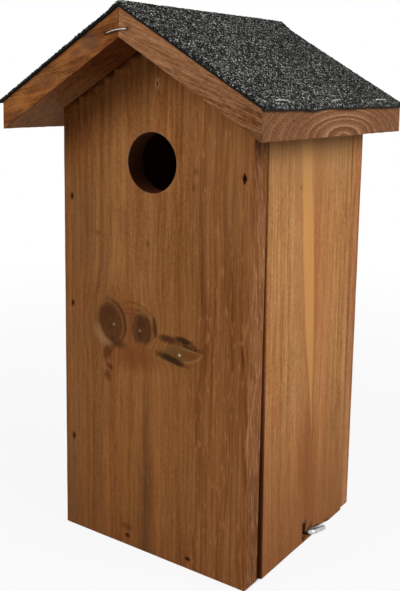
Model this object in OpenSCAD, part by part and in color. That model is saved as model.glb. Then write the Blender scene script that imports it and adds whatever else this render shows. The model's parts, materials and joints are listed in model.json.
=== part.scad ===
// A gabled wooden nest box with a hinged right side and a felted roof.
// Sizes are in millimetres. x runs across the box, y from front to back and z up.
// The pieces are drawn with y = 0 on the front face, and placed() centres them on the roof.

/* [Boards] */
// Thickness of every board
board_t = 18; // [14:1:22]
// Width of the front and back boards
body_w = 176; // [145:1:220]
// Depth from the front face to the back face
body_d = 173; // [144:1:210]
// Height of the roof boards' upper edge at the eaves
eave_z = 350; // [290:1:420]
// Radius to which the long edges of the planed boards are eased
eased_r = 1.2; // [0.4:0.1:2]

/* [Roof] */
// Slope of the roof, in degrees
roof_pitch = 30; // [24:1:36]
// How far the roof stands out past each side
eave_overhang = 27; // [20:1:40]
// How far the roof stands out past the front
front_overhang = 37.5; // [20:0.5:50]
// How far the roof stands out past the back
back_overhang = 10; // [4:0.5:20]
// Depth of the batten under the ridge
batten_h = 40; // [33:1:50]

/* [Roofing felt] */
// Thickness of the felt with its mineral granules
felt_t = 3; // [2:0.5:4]
// How far the felt runs on past the eaves
felt_eave_lap = 2.5; // [1:0.5:6]
// How far the felt runs on past the front and back ends of the roof
felt_verge_lap = 1.5; // [1:0.5:4]

/* [Entrance] */
// Diameter of the entrance hole
entrance_d = 45; // [28:1:54]
// How far the middle of the entrance lies below the peak of the gable
entrance_drop = 88; // [74:1:106]

/* [Door] */
// Gap between the door and the front and back boards
door_side_gap = 1.2; // [0.6:0.1:2]
// Gap between the top of the door and the underside of the roof
door_head_gap = 3.8; // [2:0.1:6]
// Height of the door's lower edge above the base
door_foot_gap = 1.5; // [1:0.1:3]
// How far the pivot nails lie below the top of the door
pivot_drop = 39.5; // [30:0.5:48]
// How far the pivot nails lie outside the middle of the door, which lets it hang ajar
pivot_offset = 1.3; // [0:0.1:2]

/* [Catch] */
// Thickness of the hook's wire
hook_wire = 4; // [3:0.1:4.8]
// Length of the hook's arm from its shank to the middle of the round tip
hook_arm = 21; // [17:1:25]
// Length of the hook that is screwed into the floor
hook_bite = 24; // [18:1:30]
// Height of the hook's shank above the base
catch_z = 6.8; // [6:0.1:8.2]
// How far the hook lies behind the middle of the box
catch_offset = 8.5; // [-10:0.5:12]
// Height of the arm's tip above the base when the arm is let down
tip_gap = 0.25; // [0.1:0.05:1]

/* [Floor and back] */
// Diameter of the drain holes in the floor
drain_d = 8; // [5:1:12]
// Distance of the drain holes from the floor's edges
drain_inset = 25; // [15:1:40]
// Diameter of the fixing holes in the back board
fixing_d = 6; // [4:0.5:8]
// Height of the lower fixing hole above the base
lower_fixing_z = 60; // [35:1:90]

/* [Nails and staples] */
// Length of the brads that hold the boards
brad_l = 34; // [28:1:36]
// Thickness of a brad's wire
brad_wire = 1.3; // [1:0.1:1.8]
// Width of a brad's head
brad_head_w = 3; // [2.4:0.1:4]
// Thickness of the pivot nails
pivot_wire = 2.8; // [2.2:0.1:3.4]
// Length of the pivot nails
pivot_l = 45; // [38:1:54]
// Width of the two staples across the ridge
ridge_staple_w = 20; // [16:1:24]
// Width of the staples that hold the felt
felt_staple_w = 14; // [11:1:17]
// Length of a staple's legs
staple_leg = 12; // [8:1:14]

/* [Hidden] */
$fn = 64;

// Colours
front_wood = [0.47, 0.28, 0.13];
door_wood = [0.58, 0.36, 0.20];
roof_wood = [0.42, 0.24, 0.14];
inner_wood = [0.50, 0.32, 0.18];
felt_grey = [0.20, 0.20, 0.21];
steel_grey = [0.45, 0.44, 0.42];
zinc_white = [0.78, 0.79, 0.80];

// Clearances
// Around every nail and staple that is driven into wood or felt
drive_fit = 0.05;
// Around the pivot nails in the door and the hook in the floor
running_fit = 0.08;
// Between the closed door and the floor's edge
floor_edge_gap = 0.3;
// Between the hook's arm and the door, over its face and in its notch
arm_gap = 0.6;
// How far a cutting shape runs on past the surface that it opens
cut_over = 1;

// Roof, seen from the front
eave_x = body_w / 2 + eave_overhang;
plumb_t = board_t / cos(roof_pitch);
ridge_z = eave_z + eave_x * tan(roof_pitch);
peak_z = ridge_z - plumb_t;
slope_l = eave_x / cos(roof_pitch);
roof_front = -front_overhang;
roof_back = body_d + back_overhang;
frame_y = (roof_front + roof_back) / 2;
function soffit_z(x) = peak_z - abs(x) * tan(roof_pitch);

// Box
side_out = body_w / 2;
side_in = side_out - board_t;
side_mid = side_out - board_t / 2;
inner_front = board_t;
inner_back = body_d - board_t;
floor_right = side_in - floor_edge_gap;
entrance_z = peak_z - entrance_drop;

// Door, which hangs with its weight straight below the pivot nails
door_top = soffit_z(side_out) - door_head_gap;
door_front = inner_front + door_side_gap;
door_back = inner_back - door_side_gap;
pivot_x = side_mid + pivot_offset;
pivot_z = door_top - pivot_drop;
door_ajar = atan(pivot_offset / (pivot_z - (door_foot_gap + door_top) / 2));
pivot_sink = 2;
pivot_head_d = pivot_wire + 0.8;
pivot_head_t = 2;
pivot_split_w = 1.3;
pivot_split_h = 7.5;
pivot_split_t = 1.5;

// Catch
catch_y = body_d / 2 + catch_offset;
catch_tilt = asin((catch_z - hook_wire / 2 - tip_gap) / hook_arm);
hook_bend = 4;
hook_in_x = floor_right - hook_bite;
door_face_x = pivot_x + (side_out - pivot_x) * cos(door_ajar) + (pivot_z - catch_z) * sin(door_ajar);
arm_x = door_face_x + arm_gap + hook_wire / 2;
notch_front_y = catch_y - 12.5;
notch_top_z = 17.5;
notch_flat = 1.5;
notch_knee_y = catch_y + 6;
function notch_z(y) = catch_z - (y - catch_y) * tan(catch_tilt) + (hook_wire / 2 + arm_gap) / cos(catch_tilt);
notch_end_y = notch_knee_y + (notch_z(notch_knee_y) - door_foot_gap + cut_over) / tan(catch_tilt);

// Brads, driven by hand, so their places are a little uneven
brad_head_t = 0.9;
brad_sink = 1.6;
roof_brad_sink = 0.3;
side_brad_low = 78;
side_brad_high = soffit_z(side_out) - 68;
side_brad_middle = (side_brad_low + side_brad_high) / 2 + 13;
side_brad_heights = [side_brad_low, side_brad_middle, side_brad_high];
floor_brad_z = board_t / 2 - 0.8;
floor_brad_places = [-22, 37];
batten_brad_x = 4.9;
batten_brad_z = peak_z - 30.6;
side_floor_brad_inset = 35;
gable_brad_slopes = [slope_l * 0.26, slope_l * 0.72];
batten_brad_margin = 1.4;
batten_brad_slope = board_t * tan(roof_pitch) + batten_brad_margin / cos(roof_pitch);
batten_brad_inset = 45;
batten_brad_stagger = 10;

// Staples
staple_wire = 1.2;
staple_t = 0.8;
staple_bend = 1.4;
ridge_staple_drop = 16.8;
ridge_staple_shift = -1.8;
ridge_staple_tilt = 8;
felt_staple_rise = 0.3;
felt_staple_inset = 3.6;
felt_staple_front = roof_front + 27;
felt_staple_back = roof_back - 37;
felt_staple_places = [felt_staple_front, (felt_staple_front + felt_staple_back) / 2, felt_staple_back];

// ---------- placing ----------

// From the drawing's y, measured from the front face, to the part's own frame
module placed() {
    translate([0, -frame_y, 0]) children();
}

// Local x and y lie across and up the front face, and local -z goes into the board
module on_front() {
    rotate([90, 0, 0]) children();
}

module on_back() {
    translate([0, body_d, 0]) mirror([0, 1, 0]) on_front() children();
}

// Local x runs down the right slope from the ridge, y runs back and z stands off the boards
module on_right_slope() {
    translate([0, 0, ridge_z]) rotate([0, roof_pitch, 0]) children();
}

module on_left_slope() {
    mirror([1, 0, 0]) on_right_slope() children();
}

// The upright boards' section: eased along the grain, square where they are cut to length
module eased_section(width, depth) {
    translate([eased_r, 0]) square([width - 2 * eased_r, depth]);
    translate([0, eased_r]) square([width, depth - 2 * eased_r]);
    for (x = [eased_r, width - eased_r], y = [eased_r, depth - eased_r]) translate([x, y]) circle(r = eased_r);
}

// Pushes an outline drawn in x and z along y
module along_y(from_y, to_y) {
    translate([0, to_y, 0]) rotate([90, 0, 0]) linear_extrude(to_y - from_y) children();
}

module at_side_brads() {
    for (z = side_brad_heights) translate([-side_mid, z, 0]) rotate(90) children();
}

module at_floor_brads() {
    for (x = floor_brad_places) translate([x, floor_brad_z, 0]) children();
}

module at_batten_brad() {
    translate([batten_brad_x, batten_brad_z, 0]) rotate(90) children();
}

module at_side_floor_brads() {
    for (y = [inner_front + side_floor_brad_inset, inner_back - side_floor_brad_inset])
        translate([-side_out, y, floor_brad_z]) rotate([0, -90, 0]) rotate(90) children();
}

// Two rows of brads into the gables, and a pair into the batten beside those of the other slope
module at_roof_brads(stagger) {
    for (s = gable_brad_slopes, y = [board_t / 2, body_d - board_t / 2])
        translate([s, y, -roof_brad_sink]) children();
    for (y = [inner_front + batten_brad_inset, inner_back - batten_brad_inset])
        translate([batten_brad_slope, y + stagger, -roof_brad_sink]) children();
}

module at_ridge_staple() {
    translate([ridge_staple_shift, ridge_z - ridge_staple_drop, 0]) rotate(ridge_staple_tilt) children();
}

module at_felt_staples() {
    for (y = felt_staple_places)
        translate([slope_l - felt_staple_inset, y, felt_t + felt_staple_rise]) rotate(90) children();
}

module at_front_ridge() {
    translate([0, roof_front, 0]) on_front() at_ridge_staple() children();
}

module at_back_ridge() {
    translate([0, roof_back, 0]) mirror([0, 1, 0]) on_front() at_ridge_staple() children();
}

// The door turned about its pivot nails from closed to where it hangs
module hanging() {
    translate([pivot_x, 0, pivot_z]) rotate([0, -door_ajar, 0]) translate([-pivot_x, 0, -pivot_z]) children();
}

// ---------- fasteners ----------

// A brad with a flat T head on top at z = 0, its point down
module brad(grow = 0) {
    translate([0, 0, -brad_head_t / 2])
        cube([brad_head_w + 2 * grow, brad_wire + 2 * grow, brad_head_t + 2 * grow], center = true);
    translate([0, 0, -brad_l / 2])
        cube([brad_wire + 2 * grow, brad_wire + 2 * grow, brad_l + 2 * grow], center = true);
}

module sunk_brad() {
    translate([0, 0, -brad_sink]) brad();
}

// The slot that a sunk brad leaves above its head
module brad_slot(depth) {
    translate([0, 0, (cut_over - depth) / 2])
        cube([brad_head_w + 2 * drive_fit, brad_wire + 2 * drive_fit, depth + cut_over], center = true);
}

module sunk_brad_hole() {
    translate([0, 0, -brad_sink]) brad(drive_fit);
    brad_slot(brad_sink);
}

module roof_brad_hole() {
    brad(drive_fit);
    translate([0, 0, roof_brad_sink]) brad_slot(roof_brad_sink);
}

// A round-cornered bar, open at the foot, from which a staple's outline is cut
module staple_outline(width, height, bend) {
    translate([-width / 2, -height]) square([width, height - bend]);
    translate([bend - width / 2, -bend]) square([width - 2 * bend, bend]);
    for (x = [bend - width / 2, width / 2 - bend]) translate([x, -bend]) circle(r = bend);
}

// A staple with the top of its crown at z = 0 and its legs down
module staple(width, grow = 0) {
    wall = staple_t + 2 * grow;
    bend = staple_bend + grow;
    rotate([90, 0, 0]) linear_extrude(staple_wire + 2 * grow, center = true)
        difference() {
            translate([0, grow]) staple_outline(width + 2 * grow, staple_leg + 2 * grow, bend);
            translate([0, grow - wall]) staple_outline(width + 2 * grow - 2 * wall, staple_leg, bend - wall);
        }
}

module ridge_staple(grow = 0) {
    translate([0, 0, staple_t]) staple(ridge_staple_w, grow);
}

// A lost-head nail with the top of its head at z = 0
module pivot_nail(wire_grow = 0) {
    translate([0, 0, -pivot_l]) cylinder(d = pivot_wire + 2 * wire_grow, h = pivot_l);
    translate([0, 0, -pivot_head_t]) cylinder(d = pivot_head_d + 2 * wire_grow, h = pivot_head_t);
}

module sunk_pivot_nail() {
    translate([pivot_x, pivot_z, -pivot_sink]) pivot_nail();
}

// The nail's hole in a gable board, with the split that it made along the grain
module pivot_nail_hole() {
    translate([pivot_x, pivot_z, 0]) {
        translate([0, 0, -pivot_sink]) pivot_nail(drive_fit);
        translate([0, 0, -pivot_sink]) cylinder(d = pivot_head_d + 2 * drive_fit, h = pivot_sink + cut_over);
        translate([-pivot_split_w / 2, -pivot_split_h / 2, -pivot_split_t])
            cube([pivot_split_w, pivot_split_h, pivot_split_t + cut_over]);
    }
}

// ---------- boards ----------

module upright_board(from_x, from_y, width, depth, height) {
    translate([from_x, from_y, 0]) linear_extrude(height) eased_section(width, depth);
}

module gable_outline() {
    polygon([
        [-side_out, 0],
        [side_out, 0],
        [side_out, soffit_z(side_out)],
        [0, peak_z],
        [-side_out, soffit_z(side_out)]
    ]);
}

module front_board() {
    placed() color(front_wood) difference() {
        intersection() {
            upright_board(-side_out, 0, body_w, board_t, ridge_z);
            along_y(-cut_over, board_t + cut_over) gable_outline();
        }
        on_front() {
            translate([0, entrance_z, -board_t - cut_over]) cylinder(d = entrance_d, h = board_t + 2 * cut_over);
            at_side_brads() sunk_brad_hole();
            at_floor_brads() sunk_brad_hole();
            at_batten_brad() sunk_brad_hole();
            pivot_nail_hole();
        }
        on_right_slope() at_roof_brads(batten_brad_stagger) brad(drive_fit);
        on_left_slope() at_roof_brads(0) brad(drive_fit);
    }
}

module back_board() {
    placed() color(front_wood) difference() {
        intersection() {
            upright_board(-side_out, inner_back, body_w, board_t, ridge_z);
            along_y(inner_back - cut_over, body_d + cut_over) gable_outline();
        }
        on_back() {
            for (z = [entrance_z, lower_fixing_z])
                translate([0, z, -board_t - cut_over]) cylinder(d = fixing_d, h = board_t + 2 * cut_over);
            at_side_brads() sunk_brad_hole();
            at_floor_brads() sunk_brad_hole();
            at_batten_brad() sunk_brad_hole();
            pivot_nail_hole();
        }
        on_right_slope() at_roof_brads(batten_brad_stagger) brad(drive_fit);
        on_left_slope() at_roof_brads(0) brad(drive_fit);
    }
}

// The left side, with its top bevelled to the roof
module fixed_side() {
    placed() color(front_wood) difference() {
        intersection() {
            upright_board(-side_out, inner_front, board_t, inner_back - inner_front, ridge_z);
            along_y(inner_front - cut_over, inner_back + cut_over) gable_outline();
        }
        on_front() at_side_brads() sunk_brad_hole();
        on_back() at_side_brads() sunk_brad_hole();
        at_side_floor_brads() sunk_brad_hole();
    }
}

// The notch in the door's foot: upright in front, then sloping down just above the lowered arm
module catch_notch() {
    translate([side_in - cut_over, 0, 0]) rotate([90, 0, 90]) linear_extrude(board_t + 2 * cut_over)
        polygon([
            [notch_front_y, door_foot_gap - cut_over],
            [notch_front_y, notch_top_z],
            [notch_front_y + notch_flat, notch_top_z],
            [notch_knee_y, notch_z(notch_knee_y)],
            [notch_end_y, door_foot_gap - cut_over]
        ]);
}

module side_door() {
    placed() color(door_wood) hanging() difference() {
        translate([0, 0, door_foot_gap])
            upright_board(side_in, door_front, board_t, door_back - door_front, door_top - door_foot_gap);
        on_front() translate([pivot_x, pivot_z, -pivot_l - pivot_sink - cut_over])
            cylinder(d = pivot_wire + 2 * running_fit, h = pivot_l);
        on_back() translate([pivot_x, pivot_z, -pivot_l - pivot_sink - cut_over])
            cylinder(d = pivot_wire + 2 * running_fit, h = pivot_l);
        catch_notch();
    }
}

module floor_board() {
    placed() color(inner_wood) difference() {
        translate([-side_in, inner_front, 0]) cube([side_in + floor_right, inner_back - inner_front, board_t]);
        for (x = [drain_inset - side_in, side_in - drain_inset], y = [inner_front + drain_inset, inner_back - drain_inset])
            translate([x, y, -cut_over]) cylinder(d = drain_d, h = board_t + 2 * cut_over);
        on_front() at_floor_brads() sunk_brad_hole();
        on_back() at_floor_brads() sunk_brad_hole();
        at_side_floor_brads() sunk_brad_hole();
        translate([hook_in_x - cut_over, catch_y, catch_z]) rotate([0, 90, 0])
            cylinder(d = hook_wire + 2 * running_fit, h = hook_bite + 2 * cut_over);
    }
}

// A strip of the same board on edge, bevelled to the roof boards that it carries
module ridge_batten() {
    half = board_t / 2;
    placed() color(inner_wood) difference() {
        along_y(inner_front, inner_back)
            polygon([
                [-half, peak_z - batten_h],
                [half, peak_z - batten_h],
                [half, soffit_z(half)],
                [0, peak_z],
                [-half, soffit_z(half)]
            ]);
        on_front() at_batten_brad() sunk_brad_hole();
        on_back() at_batten_brad() sunk_brad_hole();
        on_right_slope() at_roof_brads(batten_brad_stagger) brad(drive_fit);
        on_left_slope() at_roof_brads(0) brad(drive_fit);
    }
}

// One roof board, cut plumb at the eave and mitred at the ridge
module roof_board_outline() {
    polygon([
        [0, ridge_z],
        [eave_x, eave_z],
        [eave_x, eave_z - plumb_t],
        [0, peak_z]
    ]);
}

module left_roof_board() {
    placed() color(roof_wood) difference() {
        along_y(roof_front, roof_back) mirror([1, 0]) roof_board_outline();
        on_left_slope() at_roof_brads(0) roof_brad_hole();
        on_left_slope() at_felt_staples() staple(felt_staple_w, drive_fit);
        at_front_ridge() ridge_staple(drive_fit);
        at_back_ridge() ridge_staple(drive_fit);
    }
}

module right_roof_board() {
    placed() color(roof_wood) difference() {
        along_y(roof_front, roof_back) roof_board_outline();
        on_right_slope() at_roof_brads(batten_brad_stagger) roof_brad_hole();
        on_right_slope() at_felt_staples() staple(felt_staple_w, drive_fit);
        at_front_ridge() ridge_staple(drive_fit);
        at_back_ridge() ridge_staple(drive_fit);
    }
}

// ---------- roofing felt ----------

// One sheet laid down both slopes and bent round over the ridge
module felt_outline() {
    run = slope_l + felt_eave_lap;
    under_x = run * cos(roof_pitch);
    under_z = ridge_z - run * sin(roof_pitch);
    lift_x = felt_t * sin(roof_pitch);
    lift_z = felt_t * cos(roof_pitch);
    bend = [for (turn = [-1:0.25:1]) [felt_t * sin(turn * roof_pitch), ridge_z + felt_t * cos(turn * roof_pitch)]];
    polygon(concat(
        [[-under_x - lift_x, under_z + lift_z]],
        bend,
        [[under_x + lift_x, under_z + lift_z], [under_x, under_z], [0, ridge_z], [-under_x, under_z]]
    ));
}

module roofing_felt() {
    placed() color(felt_grey) difference() {
        along_y(roof_front - felt_verge_lap, roof_back + felt_verge_lap) felt_outline();
        on_left_slope() at_felt_staples() staple(felt_staple_w, drive_fit);
        on_right_slope() at_felt_staples() staple(felt_staple_w, drive_fit);
    }
}

// ---------- nodes of fasteners ----------

module front_ridge_staple() {
    placed() color(steel_grey) at_front_ridge() ridge_staple();
}

module back_ridge_staple() {
    placed() color(steel_grey) at_back_ridge() ridge_staple();
}

module left_felt_staples() {
    placed() color(steel_grey) on_left_slope() at_felt_staples() staple(felt_staple_w);
}

module right_felt_staples() {
    placed() color(steel_grey) on_right_slope() at_felt_staples() staple(felt_staple_w);
}

module left_roof_brads() {
    placed() color(steel_grey) on_left_slope() at_roof_brads(0) brad();
}

module right_roof_brads() {
    placed() color(steel_grey) on_right_slope() at_roof_brads(batten_brad_stagger) brad();
}

module front_side_brads() {
    placed() color(steel_grey) on_front() at_side_brads() sunk_brad();
}

module back_side_brads() {
    placed() color(steel_grey) on_back() at_side_brads() sunk_brad();
}

module front_floor_brads() {
    placed() color(steel_grey) on_front() at_floor_brads() sunk_brad();
}

module back_floor_brads() {
    placed() color(steel_grey) on_back() at_floor_brads() sunk_brad();
}

module front_batten_brad() {
    placed() color(steel_grey) on_front() at_batten_brad() sunk_brad();
}

module back_batten_brad() {
    placed() color(steel_grey) on_back() at_batten_brad() sunk_brad();
}

module side_floor_brads() {
    placed() color(steel_grey) at_side_floor_brads() sunk_brad();
}

module front_pivot_nail() {
    placed() color(steel_grey) on_front() sunk_pivot_nail();
}

module back_pivot_nail() {
    placed() color(steel_grey) on_back() sunk_pivot_nail();
}

// A square-bend screw hook: shank along x through the notch, arm let down towards the back
module catch_hook() {
    placed() color(zinc_white)
        translate([arm_x - hook_bend, catch_y, catch_z]) rotate([-catch_tilt, 0, 0]) translate([0, hook_bend, 0]) {
            translate([0, -hook_bend, 0]) rotate([0, -90, 0])
                cylinder(d = hook_wire, h = arm_x - hook_bend - hook_in_x);
            rotate(-90) rotate_extrude(angle = 90) translate([hook_bend, 0]) circle(d = hook_wire);
            translate([hook_bend, 0, 0]) rotate([-90, 0, 0]) cylinder(d = hook_wire, h = hook_arm - hook_bend);
            translate([hook_bend, hook_arm - hook_bend, 0]) sphere(d = hook_wire);
        }
}

front_board();
back_board();
fixed_side();
side_door();
floor_board();
ridge_batten();
left_roof_board();
right_roof_board();
roofing_felt();
front_ridge_staple();
back_ridge_staple();
left_felt_staples();
right_felt_staples();
left_roof_brads();
right_roof_brads();
front_side_brads();
back_side_brads();
front_floor_brads();
back_floor_brads();
front_batten_brad();
back_batten_brad();
side_floor_brads();
front_pivot_nail();
back_pivot_nail();
catch_hook();
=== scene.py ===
"""Builds the looks of a gabled nest box round its frame: stained softwood boards, a roof of mineral
felt, steel staples and brads, and a zinc-plated catch. It is laid out as an add-on and is run as a
script."""

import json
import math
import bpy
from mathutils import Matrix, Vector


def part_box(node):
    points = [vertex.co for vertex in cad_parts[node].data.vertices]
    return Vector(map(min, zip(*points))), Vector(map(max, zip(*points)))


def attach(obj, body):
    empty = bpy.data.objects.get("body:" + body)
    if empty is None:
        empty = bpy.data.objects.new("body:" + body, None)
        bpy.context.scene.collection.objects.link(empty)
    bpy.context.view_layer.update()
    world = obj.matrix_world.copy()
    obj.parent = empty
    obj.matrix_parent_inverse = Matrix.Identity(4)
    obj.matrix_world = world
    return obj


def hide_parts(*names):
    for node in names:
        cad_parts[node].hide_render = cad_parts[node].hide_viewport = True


bl_info = {
    "name": "Nest Box Maker",
    "version": (1, 0, 0),
    "blender": (4, 5, 0),
    "location": "View3D > Sidebar > Nest Box",
    "description": "Makes the boards, felt, fasteners and catch of a gabled nest box",
    "category": "Add Mesh",
}

from dataclasses import dataclass

import bmesh
import bpy
import numpy as np
from bpy.props import FloatProperty, FloatVectorProperty, IntProperty, PointerProperty
from mathutils import Matrix, Vector, noise

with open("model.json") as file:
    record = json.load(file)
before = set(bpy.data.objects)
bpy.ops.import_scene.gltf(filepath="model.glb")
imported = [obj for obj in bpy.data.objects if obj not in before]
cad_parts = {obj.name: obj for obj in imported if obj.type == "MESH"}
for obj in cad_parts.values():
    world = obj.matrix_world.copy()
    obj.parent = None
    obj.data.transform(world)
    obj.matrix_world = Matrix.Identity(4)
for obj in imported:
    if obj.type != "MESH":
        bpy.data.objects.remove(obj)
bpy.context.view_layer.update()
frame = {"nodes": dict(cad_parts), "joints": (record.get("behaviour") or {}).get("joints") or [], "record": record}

MM = 0.001
PITCH = math.radians(30)
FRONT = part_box("front_board")
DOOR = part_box("side_door")
RIGHT_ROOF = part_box("right_roof_board")
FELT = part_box("roofing_felt")
CATCH = next(j for j in frame["joints"] if j["name"] == "catch_turn")
BOARD = FRONT[1].y - FRONT[0].y
PEAK_Z = FRONT[1].z
RIDGE_Z = RIGHT_ROOF[1].z
# The entrance is as high as the upper fixing hole
ENTRANCE_Z = next(m for m in frame["record"]["mounts"] if m["name"] == "upper_fixing_hole")["pos_m"][2]
ENTRANCE_R = 22.5 * MM
# For each side of the ridge, right and left: the ways down its slope and out of it
DOWN_SLOPE = {side: Vector((side * math.cos(PITCH), 0, -math.sin(PITCH))) for side in (-1, 1)}
OFF_SLOPE = {side: Vector((side * math.sin(PITCH), 0, math.cos(PITCH))) for side in (-1, 1)}
# How far out of each slope the roof boards' upper faces lie
SLOPE_TOP = RIDGE_Z * math.cos(PITCH)
# The sawn faces of the roof boards' eaves and ends, a little within them
EAVE_FACE, END_FACE = 114.2 * MM, 109.5 * MM
ORIGIN = (0, 0, 0)


def srgb(*levels):
    """A colour given as it shows on a screen, from 0 to 255, in linear light."""
    parts = [level / 255 for level in levels]
    return tuple(p / 12.92 if p <= 0.04045 else ((p + 0.055) / 1.055) ** 2.4 for p in parts)


# ---------- node trees ----------


def is_vector(value):
    """Whether a term, or a plain value, has three parts."""
    if isinstance(value, Term):
        return value.socket.type in ("VECTOR", "RGBA")
    return hasattr(value, "__len__")


def feed(socket, value):
    """Links a term to a socket, or sets the socket to a number, a vector or a colour."""
    if isinstance(value, Term):
        socket.id_data.links.new(value.socket, socket)
        return
    if socket.type == "VECTOR" and not hasattr(value, "__len__"):
        value = (value,) * 3
    if socket.type == "RGBA":
        value = tuple(value) if hasattr(value, "__len__") else (value,) * 3
        value = value[:3] + (1.0,)
    socket.default_value = value


class Term:
    """A value in a node tree, from which sums and products are made."""

    def __init__(self, bench, socket):
        self.bench, self.socket = bench, socket

    def __add__(self, other):
        return self.bench.maths("ADD", self, other)

    def __sub__(self, other):
        return self.bench.maths("SUBTRACT", self, other)

    def __rsub__(self, other):
        return self.bench.maths("SUBTRACT", other, self)

    def __mul__(self, other):
        return self.bench.maths("MULTIPLY", self, other)

    def __truediv__(self, other):
        return self.bench.maths("DIVIDE", self, other)

    __radd__, __rmul__ = __add__, __mul__

    def part(self, axis):
        """The x, y or z part of a vector, as axis is 0, 1 or 2."""
        return Term(self.bench, self.bench.node("SeparateXYZ", [self]).outputs[axis])

    def rise(self, low, high):
        """0 below low and 1 above high, with a soft step between them."""
        limits = {"From Min": low, "From Max": high}
        made = self.bench.node("MapRange", limits, interpolation_type="SMOOTHSTEP")
        feed(made.inputs["Value"], self)
        return Term(self.bench, made.outputs["Result"])


class Bench:
    """Adds nodes to one tree and gives their outputs back as terms."""

    def __init__(self, tree):
        self.tree = tree

    def node(self, kind, values=(), **settings):
        """Adds a node. values go to its sockets in turn or by name, and settings to the node itself."""
        made = self.tree.nodes.new("ShaderNode" + kind)
        for name, setting in settings.items():
            setattr(made, name, setting)
        for key, value in values.items() if isinstance(values, dict) else enumerate(values):
            feed(made.inputs[key], value)
        return made

    def maths(self, operation, *values):
        """Does a vector sum if any value is a vector, and a plain one if none is."""
        kind = "VectorMath" if any(is_vector(v) for v in values) else "Math"
        made = self.node(kind, operation=operation)
        for socket, value in zip(made.inputs, values):
            feed(socket, value)
        return Term(self, next(s for s in made.outputs if s.enabled))

    def vector(self, x, y, z):
        """A vector of three numbers or terms."""
        return Term(self, self.node("CombineXYZ", [x, y, z]).outputs[0])

    def noise(self, place, detail=2.0, rough=0.5):
        """Smooth noise about 0.5, with one swell to each unit of place."""
        values = {"Vector": place, "Scale": 1.0, "Detail": detail, "Roughness": rough}
        made = self.node("TexNoise", values)
        return Term(self, made.outputs["Fac"])

    def drift(self, place, detail=1.0):
        """A vector that wanders about nothing, from place to place."""
        made = self.node("TexNoise", {"Vector": place, "Scale": 1.0, "Detail": detail})
        return Term(self, made.outputs["Color"]) - (0.5, 0.5, 0.5)

    def chance(self, number):
        """A number from 0 to 1 that is different for each whole number."""
        made = self.node("TexWhiteNoise", {"W": number}, noise_dimensions="1D")
        return Term(self, made.outputs["Value"])

    def cells(self, place):
        """How far place is from the middle of its cell, and the chance colour of that cell."""
        made = self.node("TexVoronoi", {"Vector": place, "Scale": 1.0})
        return Term(self, made.outputs["Distance"]), Term(self, made.outputs["Color"])

    def mix(self, share, one, other):
        """A colour between one and other, which is other where share is 1."""
        made = self.node("Mix", data_type="RGBA")
        for identifier, value in (("Factor_Float", share), ("A_Color", one), ("B_Color", other)):
            feed(next(i for i in made.inputs if i.identifier == identifier), value)
        return Term(self, next(o for o in made.outputs if o.identifier == "Result_Color"))

    def ramp(self, value, *stops):
        """A colour read from stops, each a place from 0 to 1 and a colour."""
        made = self.node("ValToRGB", [value])
        points = made.color_ramp.elements
        while len(points) < len(stops):
            points.new(1.0)
        for point, (at, colour) in zip(points, stops):
            point.position = at
            point.color = (*colour, 1.0)
        return Term(self, made.outputs["Color"])

    def use(self, group, **values):
        """Places a shared group. Its sockets are named with spaces where these names have underscores."""
        made = self.tree.nodes.new("ShaderNodeGroup")
        made.node_tree = group
        for name, value in values.items():
            feed(made.inputs[name.replace("_", " ")], value)
        return {socket.name: Term(self, socket) for socket in made.outputs}


def shared_group(name, outputs, **inputs):
    """Turns a function, which is given a bench and a term for each input and gives one for each output,
    into one that gives the node group. Its sockets have spaces where these names have underscores."""

    def decorate(build):
        def group():
            tree = bpy.data.node_groups.get(name)
            if tree:
                return tree
            tree = bpy.data.node_groups.new(name, "ShaderNodeTree")
            for label, value in inputs.items():
                kind = "NodeSocketVector" if hasattr(value, "__len__") else "NodeSocketFloat"
                made = tree.interface.new_socket(label.replace("_", " "), in_out="INPUT", socket_type=kind)
                made.default_value = value
            for label in outputs:
                kind = "NodeSocketVector" if label == "Place" else "NodeSocketFloat"
                tree.interface.new_socket(label, in_out="OUTPUT", socket_type=kind)
            bench = Bench(tree)
            given = tree.nodes.new("NodeGroupInput").outputs
            result = tree.nodes.new("NodeGroupOutput").inputs
            terms = build(bench, *[Term(bench, given[i]) for i in range(len(inputs))])
            for socket, term in zip(result, terms):
                feed(socket, term)
            return tree

        return group

    return decorate


# In every group below, x lies across a board, y through it and z along its grain, and the numbers that
# place is multiplied by are how many swells of noise there are to a metre that way.


@shared_group(
    "Growth rings",
    ("Late Wood", "Ring Level", "First Wood"),
    Place=ORIGIN,
    Pith=ORIGIN,
    Ring_Width=4 * MM,
    Wander=5 * MM,
    Crowd=0.0,
    Seed=0.0,
)
def growth_rings(b, place, pith, width, wander, crowd, seed):
    """Rings about a pith line: their dark late wood, a level for each, and the pale start of each."""
    shift = b.vector(seed, seed * 1.7, seed * 2.3)
    wide = b.drift(place * (16, 16, 4.5) + shift, 2.0) * wander
    close = b.drift(place * (90, 90, 14) + shift) * (wander * 0.16)
    reach = b.maths("LENGTH", (place + wide + close - pith) * (1, 1, 0))
    count = reach / width * (reach * crowd + 1)
    uneven = b.noise(b.vector(count * 0.55 + seed, 0.3, 0.7), 1.0) * 1.7
    phase = count + uneven
    turn = b.maths("FRACT", phase)
    level = b.chance(b.maths("FLOOR", phase) + seed)
    late = turn.rise(0.25, 0.86) * (1 - turn.rise(0.9, 1.0))
    return late * (level * 0.6 + 0.4), level, 1 - turn.rise(0.04, 0.34)


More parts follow.
